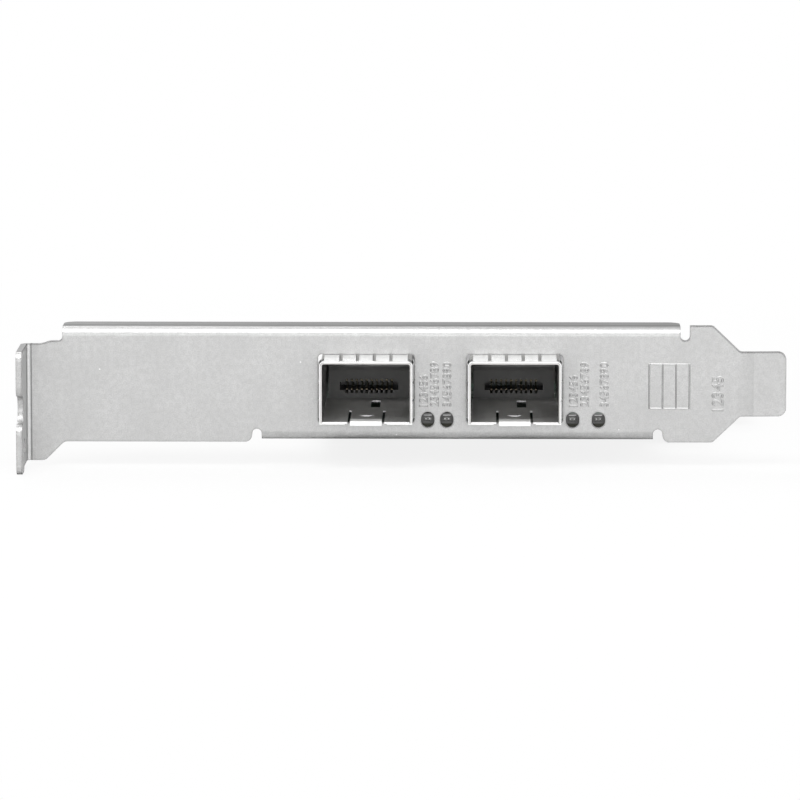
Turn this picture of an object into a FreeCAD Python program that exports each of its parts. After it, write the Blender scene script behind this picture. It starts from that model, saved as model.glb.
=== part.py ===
"""Two-port network interface card with a full-height bracket.

X runs along the bracket towards its tongue, Y runs from the bracket's front face back over the board,
and Z points up from the component side. The origin is on the front face, midway between the two ports.
"""
import FreeCAD, Part

import math
import os

import Sketcher

document = FreeCAD.newDocument("network_interface_card")

SIZES = [
    # Bracket: one folded sheet
    ("sheet_gauge", 0.9, "bracket sheet thickness"),
    ("fold_radius", 0.5, "inside radius of every fold"),
    ("bracket_length", 120.02, "outer face of the screw tab to the tip of the tongue"),
    ("plate_width", 18.42, "full width of the bracket"),
    ("tip_offset", 54.2, "tip of the tongue to the midpoint between the ports"),
    ("plate_drop", 8.32, "lower edge of the plate below the ports' centre line"),
    ("tab_reach", 11.43, "tab's free edge in front of the plate"),
    ("tab_shift", 2.98, "tab's lower side below the plate's lower edge"),
    ("tab_flare", 0.8, "extra width of the tab's free end"),
    ("tab_neck", 6.3, "plate's front face to the end of the flare"),
    ("tab_corner", 1.4, "corner radius of the tab's free end"),
    ("notch_width", 4.4, "open screw notch in the tab"),
    ("notch_depth", 3.8, "depth of the screw notch"),
    ("notch_height", 6.23, "notch centre above the plate's lower edge"),
    ("notch_corner", 1.5, "radius at the mouth of the notch"),
    ("tooling_hole", 2.3, "diameter of the hole beside the notch"),
    ("tooling_depth", 5.4, "tooling hole's centre in front of the plate"),
    ("tooling_height", 0.1, "tooling hole's centre above the plate's lower edge"),
    ("end_land", 3.77, "straight lower edge beside the tab fold"),
    ("land_corner", 1.3, "corner radius at both ends of the slope beside that edge"),
    ("shoulder_start", 3.2, "tab side to the start of the upper shoulder"),
    ("shoulder_end", 4.6, "tab side to the end of the upper shoulder"),
    ("shoulder_rise", 0.46, "step up of the upper shoulder"),
    ("shoulder_blend", 2.5, "radius at both ends of that step"),
    ("shoulder_corner", 0.7, "inner corner radius where the shoulder meets the upper flange"),
    ("tongue_length", 7.22, "length of the tongue"),
    ("taper_length", 4.3, "length of the taper beside the tongue"),
    ("taper_corner", 0.8, "corner radius at both ends of the taper"),
    ("tongue_low", 4.11, "tongue's lower side above the plate's lower edge"),
    ("tongue_width", 10.19, "width of the tongue"),
    ("tongue_corner", 1.3, "corner radius of the tongue's tip"),
    ("tongue_bend", 5.12, "tip of the tongue to its bend"),
    ("tongue_setback", 0.36, "how far the tip is bent back"),
    ("flange_recess", 0.32, "flanges' outer faces inside the plate's edges"),
    ("upper_flange_start", 6.5, "tab side to the upper flange"),
    ("upper_flange_depth", 7.2, "reach of the upper flange behind the front face"),
    ("upper_slot_place", 4.35, "relief slot past the upper flange to the start of the taper"),
    ("upper_slot_width", 1.45, "width of the upper relief slot"),
    ("upper_slot_relief", 0.43, "straight sides of the upper slot past the flange's inner face"),
    ("lower_flange_depth", 5.0, "reach of the lower flange behind the front face"),
    ("lower_slot_place", 8.6, "second relief slot beside the lower flange to the start of the taper"),
    ("lower_flange_length", 62.9, "distance between the two lower relief slots"),
    ("lower_slot_width", 1.46, "width of the lower relief slots"),
    ("lower_slot_relief", 0.1, "straight sides of the lower slots past the flange's inner face"),
    ("lower_slot_flare", 0.2, "slant of the lower slots' open sides"),
    ("lower_slot_corner", 1.0, "corner radius below that slant"),
    ("flange_corner", 2.0, "corner radius of the upper flange and the ears"),
    ("lower_flange_corner", 1.0, "corner radius of the lower flange"),
    ("ear_reach", 12.5, "reach of the two threaded ears"),
    ("ear_width", 6.4, "width of the threaded ears"),
    ("ear_place_near", -0.5, "ear between the ports"),
    ("ear_place_far", 5.18, "ear beside the second port to the second lower slot"),
    ("screw_depth", 9.0, "screws behind the front face"),
    ("screw_thread", 2.9, "diameter of the bracket screws"),
    ("thread_clearance", 0.05, "screw to threaded hole, on the diameter"),
    # Ports
    ("port_pitch", 23.26, "distance between the two ports"),
    ("cage_width", 14.25, "outside width of a cage"),
    ("cage_height", 9.6, "outside height of a cage"),
    ("cage_length", 48.8, "mouth to rear wall"),
    ("cage_wall", 0.25, "cage sheet thickness"),
    ("cage_corner", 0.6, "outer fold radius of the cage"),
    ("cage_protrusion", 4.7, "mouth in front of the bracket"),
    ("cage_standoff", 0.73, "cage above the board"),
    ("opening_side_gap", 0.45, "cage to the sides of the bracket opening"),
    ("opening_upper_gap", 0.75, "cage to the upper edge of the bracket opening"),
    ("opening_lower_gap", 0.45, "cage to the lower edge of the bracket opening"),
    ("opening_corner", 0.6, "corner radius of the bracket openings"),
    ("leg_width", 0.6, "width of a press-fit leg"),
    ("leg_projection", 0.6, "legs' tips below the board"),
    ("leg_start", 8.0, "first pair of legs behind the front face"),
    ("leg_pitch", 10.0, "distance between the legs"),
    ("leg_count", 4, "legs along each side"),
    ("leg_shoulder", 2.4, "width of the shoulder that rests on the board"),
    ("vent_width", 2.2, "six-sided vent holes of the cage, across their flats"),
    ("vent_pitch", 3.6, "distance between the vent holes"),
    ("vent_start", 26.0, "first row of vent holes behind the front face"),
    ("vent_rows", 4, "rows of vent holes along the cage"),
    ("window_clearance", 0.1, "window in the side wall round a floor tab"),
    ("floor_clearance", 0.06, "floor to the walls of its cage"),
    ("floor_end", 23.8, "rear edge of the floor behind the front face"),
    ("floor_tab_length", 1.4, "length of the floor's side tabs"),
    ("floor_tab_count", 2, "tabs along each side of the floor"),
    ("floor_tab_reach", 0.12, "tabs' ends outside the cage"),
    ("latch_width", 4.95, "width of the latch spring"),
    ("latch_slot", 0.4, "slots beside the latch spring"),
    ("latch_root", 8.5, "root of the latch spring behind the front face"),
    ("latch_rise", 0.08, "crest of the latch spring above the floor"),
    ("latch_setback", 0.32, "crest of the spring behind the mouth"),
    ("latch_ramp_reach", 0.42, "length of the ramp in front of the crest"),
    ("latch_ramp_drop", 0.42, "drop of that ramp"),
    ("latch_hole", 2.4, "hole that catches the module"),
    ("latch_hole_place", 2.0, "centre of that hole behind the front face"),
    ("eject_hole_width", 1.5, "small window in the floor"),
    ("eject_hole_length", 8.0, "length of the small window"),
    ("eject_hole_place", 16.8, "centre of the small window behind the front face"),
    ("eject_hole_shift", 1.2, "small window beside the port's centre line"),
    # Contact collars
    ("collar_sheet", 0.15, "collar sheet thickness"),
    ("collar_corner", 0.5, "inner corner radius of the collar, tighter than the cage's"),
    ("collar_band", 1.2, "length of the flat band at the mouth"),
    ("finger_end", 4.2, "rear end of the fingers behind the front face"),
    ("finger_contact_gap", 0.03, "top of a finger to the edge of the opening"),
    ("finger_slot", 0.5, "slot between two fingers"),
    ("upper_finger_count", 5, "fingers along the upper side"),
    ("side_finger_count", 3, "fingers along each side"),
    ("lower_finger_end", 1.1, "rear end of the lower fingers behind the front face"),
    ("lower_finger_bulge", 0.2, "bulge of the lower fingers"),
    # Connectors inside the cages
    ("connector_front", 24.7, "connector's face behind the front face"),
    ("connector_side_gap", 0.375, "connector to the side walls of its cage"),
    ("connector_height", 5.9, "height of the connector above the board"),
    ("connector_length", 9.6, "depth of the connector"),
    ("connector_bevel", 0.5, "bevel of the connector's upper front edge"),
    ("card_slot_width", 9.4, "slot that takes the module's card edge"),
    ("card_slot_height", 1.3, "height of that slot"),
    ("card_slot_level", 2.8, "slot's centre above the board"),
    ("card_slot_depth", 6.5, "depth of that slot"),
    ("contact_pitch", 0.8, "distance between the connector's contacts"),
    ("contact_count", 10, "contacts in each row"),
    ("contact_width", 0.3, "width of a contact"),
    ("contact_thickness", 0.2, "thickness of a contact"),
    ("contact_groove", 0.42, "width of the groove round a contact"),
    ("contact_groove_depth", 0.5, "groove above and below the slot"),
    ("contact_setback", 1.6, "contacts' tips behind the connector's face"),
    ("contact_foot", 0.8, "length of the soldered foot"),
    ("contact_row_gap", 1.2, "upper row's legs behind the lower row's"),
    # Board
    ("board_thickness", 1.57, "thickness of the board"),
    ("board_gap", 0.5, "front edge of the board behind the bracket plate"),
    ("board_left", -20.1, "board edge on the tab side"),
    ("board_right", 41.0, "board edge on the tongue side"),
    ("board_margin", 7.0, "inductors to the far edge of the board"),
    ("board_corner", 1.0, "corner radius of the board"),
    ("board_step_width", 8.4, "board cut back along its tongue side at the front"),
    ("board_step_length", 22.0, "length of that cut"),
    ("edge_reach", 7.8, "edge connector beyond the board's side"),
    ("edge_start", 45.6, "edge connector behind the front face"),
    ("edge_end", 98.3, "end of the edge connector"),
    ("edge_bevel", 0.4, "bevel of the plated edge"),
    ("key_place", 58.2, "centre of the key notch behind the front face"),
    ("key_width", 1.9, "width of the key notch"),
    ("key_depth", 7.6, "depth of the key notch"),
    ("edge_contact_pitch", 1.0, "distance between the plated contacts"),
    ("edge_contact_width", 0.7, "width of a plated contact"),
    ("edge_contact_length", 4.2, "length of a plated contact"),
    ("edge_contact_plating", 0.05, "thickness of the plating"),
    ("edge_contact_inset", 0.6, "plated contacts inside the board's edge"),
    ("key_contact_gap", 1.5, "key notch to the centres of the nearest contacts"),
    ("short_side_count", 11, "contacts before the key notch"),
    ("long_side_count", 38, "contacts past the key notch"),
    ("board_screw_hole", 3.3, "board's holes for the bracket screws"),
    ("leg_hole", 1.05, "board's holes for the cage legs"),
    # Indicator lights
    ("light_hole_width", 2.1, "width of the holes in the bracket"),
    ("light_hole_height", 2.45, "height of the holes in the bracket"),
    ("light_level", -4.77, "centre of the light holes from the ports' centre line"),
    ("first_light_gap", 2.515, "side of the first cage to its first light hole"),
    ("first_light_pitch", 2.98, "distance between the first port's light holes"),
    ("second_light_gap", 1.975, "side of the second cage to its first light hole"),
    ("second_light_pitch", 4.05, "distance between the second port's light holes"),
    ("light_width", 2.7, "width of an indicator"),
    ("light_height", 1.4, "height of an indicator"),
    ("light_depth", 1.3, "depth of an indicator"),
    ("light_overhang", 0.2, "indicator's face in front of the board's edge"),
    ("light_window_width", 1.3, "window of an indicator"),
    ("light_window_height", 0.7, "height of the window"),
    ("light_window_depth", 0.3, "depth of the window"),
    # Controller and its heat sink
    ("chip_place", 8.0, "controller's centre along the bracket"),
    ("sink_gap", 4.9, "rear of the cages to the heat sink"),
    ("chip_width", 25.0, "side of the controller's carrier"),
    ("chip_carrier", 0.9, "thickness of the carrier with its solder"),
    ("chip_lid_width", 19.0, "side of the controller's lid"),
    ("chip_lid", 0.6, "thickness of the lid"),
    ("chip_lid_corner", 1.5, "corner radius of the lid"),
    ("pad_thickness", 0.2, "thickness of the thermal pad"),
    ("pin_offset", 2.0, "push pins beside the controller"),
    ("sink_length", 30.0, "heat sink away from the bracket"),
    ("sink_base", 1.2, "base plate of the heat sink"),
    ("fin_height", 3.1, "height of the fins"),
    ("fin_thickness", 0.8, "thickness of a fin"),
    ("fin_count", 12, "fins on the heat sink"),
    ("pin_margin", 3.2, "push pins inside the heat sink's edges"),
    ("pin_recess", 3.2, "radius cleared of fins round a push pin"),
    ("pin_hole", 3.1, "push pin holes in the heat sink and the board"),
    ("pin_shank", 2.7, "diameter of a push pin"),
    ("pin_head", 5.0, "diameter of a push pin's head"),
    ("pin_head_height", 0.9, "height of a push pin's head"),
    ("pin_barb", 3.7, "diameter of a push pin's barbs"),
    ("pin_barb_height", 1.5, "height of a push pin's barbs"),
    ("pin_slit", 0.7, "slit of a push pin's tip"),
    ("spring_wire", 0.4, "side of the pin springs' flat wire"),
    ("spring_turns", 2.0, "turns of the pin springs"),
    ("spring_diameter", 3.7, "mean diameter of the pin springs"),
    ("spring_height", 2.2, "fitted height of the pin springs"),
    # Power and small parts
    ("inductor_width", 6.6, "side of a power inductor"),
    ("inductor_height", 2.8, "height of a power inductor"),
    ("inductor_bevel", 1.0, "bevelled corners of a power inductor"),
    ("inductor_place", 24.0, "first inductor along the bracket"),
    ("power_gap", 5.2, "heat sink to the row of inductors"),
    ("inductor_pitch", 8.6, "distance between the inductors"),
    ("polymer_length", 7.3, "length of a polymer capacitor"),
    ("polymer_width", 4.3, "width of a polymer capacitor"),
    ("polymer_height", 1.9, "height of a polymer capacitor"),
    ("polymer_bevel", 0.35, "bevelled upper edges of a polymer capacitor"),
    ("polymer_place", -16.0, "polymer capacitors along the bracket"),
    ("polymer_offset", 3.8, "first polymer capacitor past the start of the inductors"),
    ("polymer_pitch", 6.0, "distance between the polymer capacitors"),
    ("polymer_count", 4, "polymer capacitors"),
    ("regulator_width", 5.0, "side of a switching regulator"),
    ("regulator_height", 0.9, "height of a switching regulator"),
    ("regulator_offset", 12.8, "regulators past the start of the inductors"),
    ("sink_neighbour_gap", 2.0, "small chips beside the heat sink"),
    ("flash_offset", 10.0, "flash memory in front of the controller's centre"),
    ("flash_length", 5.2, "body side of the flash memory"),
    ("flash_height", 1.8, "height of the flash memory"),
    ("flash_standoff", 0.1, "body above the board"),
    ("lead_pitch", 1.27, "distance between the flash memory's leads"),
    ("lead_width", 0.4, "width of a lead"),
    ("lead_reach", 1.3, "reach of a lead from the body"),
    ("lead_count", 4, "leads along each side"),
    ("lead_thickness", 0.2, "thickness of a lead"),
    ("clock_offset", 4.0, "clock oscillator behind the controller's centre"),
    ("clock_length", 3.2, "length of the clock oscillator"),
    ("clock_width", 2.5, "width of the clock oscillator"),
    ("clock_height", 0.9, "height of the clock oscillator"),
    ("chip_part_length", 1.6, "length of a small chip capacitor or resistor"),
    ("chip_part_width", 0.8, "width of a small chip capacitor or resistor"),
    ("capacitor_height", 0.8, "height of a ceramic capacitor"),
    ("resistor_height", 0.45, "height of a resistor"),
    ("chip_part_pitch", 2.4, "distance between the small parts"),
    ("chip_part_row", 3.2, "distance between rows of small parts"),
    ("capacitor_columns", 8, "ceramic capacitors in a row"),
    ("resistor_columns", 7, "resistors in a row"),
    ("chip_part_rows", 2, "rows of small parts in a field"),
    # Bracket screws
    ("screw_head", 5.5, "diameter of a bracket screw's head"),
    ("screw_head_height", 1.7, "height of the head"),
    ("screw_head_bevel", 0.5, "bevelled rim of the head"),
    ("screw_recess", 2.6, "span of the cross recess"),
    ("screw_recess_width", 0.6, "width of the cross recess"),
    ("screw_recess_depth", 1.0, "depth of the cross recess"),
    ("screw_end_gap", 0.3, "screw's end inside the ear's lower face"),
]

CUT_MARGIN = 3.0  # how far a cutting outline runs past the metal
ROOT_THREE = math.sqrt(3.0)


class Size:
    """A number that also carries the spreadsheet expression it comes from."""

    def __init__(self, value, text):
        self.value = float(value)
        self.text = text

    @staticmethod
    def of(other):
        if isinstance(other, Size):
            return other
        return Size(other, f"({float(other)!r})")

    def _join(self, sign, other, value):
        return Size(value, f"({self.text} {sign} {other.text})")

    def __add__(self, other):
        other = Size.of(other)
        return self._join("+", other, self.value + other.value)

    def __sub__(self, other):
        other = Size.of(other)
        return self._join("-", other, self.value - other.value)

    def __mul__(self, other):
        other = Size.of(other)
        return self._join("*", other, self.value * other.value)

    def __truediv__(self, other):
        other = Size.of(other)
        return self._join("/", other, self.value / other.value)

    def __radd__(self, other):
        return Size.of(other) + self

    def __rsub__(self, other):
        return Size.of(other) - self

    def __rmul__(self, other):
        return Size.of(other) * self

    def __neg__(self):
        return Size(-self.value, f"(-{self.text})")


class Sheet:
    """The spreadsheet of driving dimensions, with one Size for each alias."""

    def __init__(self, rows):
        table = document.addObject("Spreadsheet::Sheet", "Sizes")
        for row, (alias, value, note) in enumerate(rows, start=1):
            table.set(f"A{row}", note)
            table.set(f"B{row}", str(value))
            table.setAlias(f"B{row}", alias)
            setattr(self, alias, Size(value, f"Sizes.{alias}"))
        table.recompute()


size = Sheet(SIZES)
zero = Size.of(0)


# Places that several pieces share

tip = size.tip_offset
tab_side = tip - size.bracket_length
taper_end = tip - size.tongue_length
taper_start = taper_end - size.taper_length
upper_slot_x = taper_start - size.upper_slot_place
lower_slot_end = taper_start - size.lower_slot_place
lower_slot_start = lower_slot_end - size.lower_flange_length
plate_low = -size.plate_drop
plate_high = plate_low + size.plate_width
fold_outside = size.sheet_gauge + size.fold_radius
fold_line = tab_side + fold_outside
tab_low = plate_low - size.tab_shift
tab_high = plate_high - size.tab_shift
tongue_floor = plate_low + size.tongue_low
tongue_roof = tongue_floor + size.tongue_width
upper_flange_top = plate_high - size.flange_recess
lower_flange_bottom = plate_low + size.flange_recess
upper_slot_floor = upper_flange_top - size.sheet_gauge - size.upper_slot_relief
lower_slot_roof = lower_flange_bottom + size.sheet_gauge + size.lower_slot_relief
cage_floor_level = -size.cage_height / 2
cage_roof_level = size.cage_height / 2
board_top = cage_floor_level - size.cage_standoff
board_bottom = board_top - size.board_thickness
board_front = size.sheet_gauge + size.board_gap
board_step_side = size.board_right - size.board_step_width
board_step_end = board_front + size.board_step_length
mouth = -size.cage_protrusion
cage_rear = mouth + size.cage_length
cage_inner_width = size.cage_width - 2 * size.cage_wall
chip_top = board_top + size.chip_carrier + size.chip_lid
sink_bottom = chip_top + size.pad_thickness
sink_floor = sink_bottom + size.sink_base
sink_width = size.chip_width + 2 * (size.pin_offset + size.pin_margin)
sink_side = size.chip_place - sink_width / 2 - size.sink_neighbour_gap
chip_depth = cage_rear + size.sink_gap + size.sink_length / 2
power_front = chip_depth + size.sink_length / 2 + size.power_gap
polymer_depth = power_front + size.polymer_offset
board_end = power_front + 2 * size.inductor_pitch + size.inductor_width + size.board_margin
port_centres = {"1": -size.port_pitch / 2, "2": size.port_pitch / 2}
screw_places = {"1": size.ear_place_near, "2": lower_slot_end - size.ear_place_far}
first_light = port_centres["1"] + size.cage_width / 2 + size.first_light_gap
third_light = port_centres["2"] + size.cage_width / 2 + size.second_light_gap
light_places = [
    first_light,
    first_light + size.first_light_pitch,
    third_light,
    third_light + size.second_light_pitch,
]
pin_places = {
    "1": (
        size.chip_place - size.chip_width / 2 - size.pin_offset,
        chip_depth - size.sink_length / 2 + size.pin_margin,
    ),
    "2": (
        size.chip_place + size.chip_width / 2 + size.pin_offset,
        chip_depth + size.sink_length / 2 - size.pin_margin,
    ),
}


# Sketch outlines: a list of corners, each a straight start or the start of an arc

class Corner:
    """A corner of an outline; with a centre, the side that starts here is an arc."""

    def __init__(self, x, y, centre=None, turn=1):
        self.x = Size.of(x)
        self.y = Size.of(y)
        self.centre = centre
        self.turn = turn


def rectangle(left, low, right, high):
    return [Corner(left, low), Corner(right, low), Corner(right, high), Corner(left, high)]


def centred_rectangle(x, y, width, height):
    return rectangle(x - width / 2, y - height / 2, x + width / 2, y + height / 2)


def rounded_rectangle(left, low, right, high, radius):
    inner_left = left + radius
    inner_right = right - radius
    inner_low = low + radius
    inner_high = high - radius
    return [
        Corner(inner_left, low),
        Corner(inner_right, low, (inner_right, inner_low)),
        Corner(right, inner_low),
        Corner(right, inner_high, (inner_right, inner_high)),
        Corner(inner_right, high),
        Corner(inner_left, high, (inner_left, inner_high)),
        Corner(left, inner_high),
        Corner(left, inner_low, (inner_left, inner_low)),
    ]


def arched_rectangle(left, low, right, high, radius):
    """A rectangle whose two upper corners are round."""
    inner_left = left + radius
    inner_right = right - radius
    inner_high = high - radius
    return [
        Corner(left, low),
        Corner(right, low),
        Corner(right, inner_high, (inner_right, inner_high)),
        Corner(inner_right, high),
        Corner(inner_left, high, (inner_left, inner_high)),
        Corner(left, inner_high),
    ]


def hexagon(x, y, across):
    """A six-sided hole of the given width across its flats."""
    half = across / 2
    point = across / ROOT_THREE
    return [
        Corner(x, y - point),
        Corner(x + half, y - point / 2),
        Corner(x + half, y + point / 2),
        Corner(x, y + point),
        Corner(x - half, y + point / 2),
        Corner(x - half, y - point / 2),
    ]


def upright_slot(x, y, width, height):
    """A slot with round ends, higher than it is wide."""
    radius = width / 2
    reach = height / 2 - radius
    return [
        Corner(x + radius, y - reach),
        Corner(x + radius, y + reach, (x, y + reach)),
        Corner(x - radius, y + reach),
        Corner(x - radius, y - reach, (x, y - reach)),
    ]


def arc_between(start, end, centre, turn):
    """The arc from one corner to the next about the centre, counter-clockwise for turn 1."""
    first = math.atan2(start.y.value - centre[1].value, start.x.value - centre[0].value)
    last = math.atan2(end.y.value - centre[1].value, end.x.value - centre[0].value)
    radius = math.hypot(start.x.value - centre[0].value, start.y.value - centre[1].value)
    if turn < 0:
        first, last = last, first
    circle = Part.Circle(FreeCAD.Vector(centre[0].value, centre[1].value, 0), FreeCAD.Vector(0, 0, 1), radius)
    return Part.ArcOfCircle(circle, first, last)


def bind(sketch, kind, first, second, expression):
    """A dimension between two points of the sketch, bound to an expression."""
    number = sketch.addConstraint(Sketcher.Constraint(kind, *first, *second, expression.value))
    sketch.setExpression(f"Constraints[{number}]", expression.text)


ORIGIN_POINT = (-1, 1)


def draw_outline(sketch, corners):
    """Draws a closed outline and ties each corner to the sketch's origin."""
    count = len(corners)
    sides = []
    for number, corner in enumerate(corners):
        following = corners[(number + 1) % count]
        if corner.centre is None:
            start = FreeCAD.Vector(corner.x.value, corner.y.value, 0)
            end = FreeCAD.Vector(following.x.value, following.y.value, 0)
            side = sketch.addGeometry(Part.LineSegment(start, end), False)
            sides.append((side, 1, 2))
        else:
            side = sketch.addGeometry(arc_between(corner, following, corner.centre, corner.turn), False)
            sides.append((side, 1, 2) if corner.turn > 0 else (side, 2, 1))
    for number, (corner, (side, start, end)) in enumerate(zip(corners, sides)):
        following_side, following_start, _ = sides[(number + 1) % count]
        sketch.addConstraint(Sketcher.Constraint("Coincident", side, end, following_side, following_start))
        bind(sketch, "DistanceX", ORIGIN_POINT, (side, start), corner.x)
        bind(sketch, "DistanceY", ORIGIN_POINT, (side, start), corner.y)
        if corner.centre is not None:
            following = corners[(number + 1) % count]
            across = abs(following.x.value - corner.x.value)
            along = abs(following.y.value - corner.y.value)
            kind, place = ("DistanceX", 0) if along > across else ("DistanceY", 1)
            bind(sketch, kind, ORIGIN_POINT, (side, 3), corner.centre[place])


def draw_circle(sketch, x, y, diameter):
    x = Size.of(x)
    y = Size.of(y)
    centre = FreeCAD.Vector(x.value, y.value, 0)
    circle = sketch.addGeometry(Part.Circle(centre, FreeCAD.Vector(0, 0, 1), diameter.value / 2), False)
    number = sketch.addConstraint(Sketcher.Constraint("Diameter", circle, diameter.value))
    sketch.setExpression(f"Constraints[{number}]", diameter.text)
    bind(sketch, "DistanceX", ORIGIN_POINT, (circle, 3), x)
    bind(sketch, "DistanceY", ORIGIN_POINT, (circle, 3), y)


class Piece:
    """A body of the card, with short names for the features it is made of.

    front sketches look at the bracket (X, Z), plan sketches look down on the board (X, Y) and
    side sketches look along the bracket (Y, Z). Each sits at a level along its own normal.
    """

    PLANES = {"front": ("XZ_Plane", -1), "plan": ("XY_Plane", 1), "side": ("YZ_Plane", 1)}

    def __init__(self, label):
        self.body = document.addObject("PartDesign::Body", label)
        self.body.Label = label
        self.body.AllowCompound = True

    def datum(self, role):
        return next(datum for datum in self.body.Origin.OriginFeatures if datum.Role == role)

    def sketch(self, view, level, outlines=(), circles=()):
        role, sign = self.PLANES[view]
        sketch = self.body.newObject("Sketcher::SketchObject", f"{self.body.Label}_{view}")
        sketch.AttachmentSupport = [(self.datum(role), "")]
        sketch.MapMode = "FlatFace"
        sketch.setExpression("AttachmentOffset.Base.z", (Size.of(level) * sign).text)
        for corners in outlines:
            draw_outline(sketch, corners)
        for circle in circles:
            draw_circle(sketch, *circle)
        return sketch

    def finish(self, feature):
        self.body.Tip = feature
        document.recompute()
        if "Invalid" in feature.State:
            raise RuntimeError(f"{feature.Label} of {self.body.Label} failed")
        return feature

    def pad(self, sketch, length, forward=True):
        """Adds metal along +X, +Y or +Z from the sketch, or against it."""
        pad = self.body.newObject("PartDesign::Pad", "pad")
        pad.Profile = sketch
        pad.setExpression("Length", Size.of(length).text)
        pad.Reversed = forward == (self.normal_sign(sketch) < 0)
        return self.finish(pad)

    def pocket(self, sketch, length=None, forward=True):
        """Cuts along +X, +Y or +Z from the sketch, or against it; without a length, both ways."""
        before = self.body.Shape.Volume
        pocket = self.body.newObject("PartDesign::Pocket", "pocket")
        pocket.Profile = sketch
        if length is None:
            pocket.Type = "ThroughAll"
            pocket.Midplane = True
        else:
            pocket.setExpression("Length", Size.of(length).text)
            pocket.Reversed = forward == (self.normal_sign(sketch) > 0)
        self.finish(pocket)
        if not self.body.Shape.Volume < before:
            raise RuntimeError(f"{pocket.Name} of {self.body.Label} cuts nothing")
        return pocket

    def normal_sign(self, sketch):
        support = sketch.AttachmentSupport[0][0]
        return next(sign for role, sign in self.PLANES.values() if role == support.Role)

    def repeat(self, features, axis, pitch, count):
        """Repeats features along an axis at a pitch."""
        pattern = self.body.newObject("PartDesign::LinearPattern", "pattern")
        pattern.Originals = features
        pattern.Direction = (self.datum(axis), [""])
        pattern.setExpression("Length", (pitch * (count - 1)).text)
        pattern.setExpression("Occurrences", count.text)
        return self.finish(pattern)

    def dress(self, kind, chooser, amount):
        """A fillet or chamfer on the chosen edges."""
        base = self.body.Tip
        names = [
            f"Edge{number}" for number, edge in enumerate(base.Shape.Edges, start=1) if chooser(edge)
        ]
        if not names:
            raise RuntimeError(f"no edges for the {kind.lower()} of {self.body.Label}")
        feature = self.body.newObject(f"PartDesign::{kind}", kind.lower())
        feature.Base = (base, names)
        feature.setExpression("Radius" if kind == "Fillet" else "Size", Size.of(amount).text)
        return self.finish(feature)

    def round_corners(self, axis, places, radius):
        """Rounds the edges that run along an axis through the given places."""
        self.dress("Fillet", lambda edge: edge_at(edge, axis, places), radius)

    def bevel_corners(self, axis, places, amount):
        """Bevels the edges that run along an axis through the given places."""
        self.dress("Chamfer", lambda edge: edge_at(edge, axis, places), amount)

    def turn(self, corners):
        """A solid of revolution about the vertical axis; the outline is drawn in the front view."""
        revolution = self.body.newObject("PartDesign::Revolution", "revolution")
        sketch = self.sketch("front", 0, [corners])
        revolution.Profile = sketch
        revolution.ReferenceAxis = (sketch, ["V_Axis"])
        return self.finish(revolution)

    def place(self, x, y, z):
        """Sets where the body's own origin sits in the card."""
        for axis, value in zip("xyz", (x, y, z)):
            self.body.setExpression(f"Placement.Base.{axis}", Size.of(value).text)
        document.recompute()


NEAR = 1e-4  # tolerance when an edge is looked up by its place


def edge_at(edge, axis, places):
    """True when a straight edge runs along the axis through one of the places across it."""
    vertices = edge.Vertexes
    if len(vertices) != 2 or edge.Curve.TypeId != "Part::GeomLine":
        return False
    across = [name for name in "xyz" if name != axis]
    start, end = (vertex.Point for vertex in vertices)
    if any(abs(getattr(start, name) - getattr(end, name)) > NEAR for name in across):
        return False
    for place in places:
        wanted = [Size.of(value).value for value in place]
        if all(abs(getattr(start, name) - value) < NEAR for name, value in zip(across, wanted)):
            return True
    return False


# Bracket

def fold_profile():
    """Plan of the tab, its fold, the plate and the tongue, seen along the sheet's width."""
    inner = tab_side + size.sheet_gauge
    fold_front = -size.fold_radius
    fold_centre = (fold_line, fold_front)
    bend = tip - size.tongue_bend
    rear = size.sheet_gauge
    return [
        Corner(tab_side, -size.tab_reach),
        Corner(inner, -size.tab_reach),
        Corner(inner, fold_front, fold_centre, -1),
        Corner(fold_line, zero),
        Corner(bend, zero),
        Corner(tip, size.tongue_setback),
        Corner(tip, size.tongue_setback + rear),
        Corner(bend, rear),
        Corner(fold_line, rear, fold_centre, 1),
        Corner(tab_side, fold_front),
    ]


def waste_above():
    """Sheet trimmed off above the plate and the tongue."""
    shoulder = tab_high + size.shoulder_rise
    flange = tab_side + size.upper_flange_start
    flange_line = upper_flange_top - fold_outside
    beyond = tip + CUT_MARGIN
    over = plate_high + CUT_MARGIN
    return [
        Corner(fold_line, tab_high),
        Corner(tab_side + size.shoulder_start, tab_high),
        Corner(tab_side + size.shoulder_end, shoulder),
        Corner(flange, shoulder),
        Corner(flange, flange_line),
        Corner(upper_slot_x, flange_line),
        Corner(upper_slot_x, plate_high),
        Corner(taper_start, plate_high),
        Corner(taper_end, tongue_roof),
        Corner(beyond, tongue_roof),
        Corner(beyond, over),
        Corner(fold_line, over),
    ]


def waste_below():
    """Sheet trimmed off below the plate and the tongue."""
    flange_line = lower_flange_bottom + fold_outside
    land = tab_side + size.end_land
    beyond = tip + CUT_MARGIN
    under = tab_low - CUT_MARGIN
    return [
        Corner(fold_line, tab_low),
        Corner(land, tab_low),
        Corner(land + size.tab_shift, plate_low),
        Corner(lower_slot_start, plate_low),
        Corner(lower_slot_start, flange_line),
        Corner(lower_slot_end, flange_line),
        Corner(lower_slot_end, plate_low),
        Corner(taper_start, plate_low),
        Corner(taper_end, tongue_floor),
        Corner(beyond, tongue_floor),
        Corner(beyond, under),
        Corner(fold_line, under),
    ]


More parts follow.
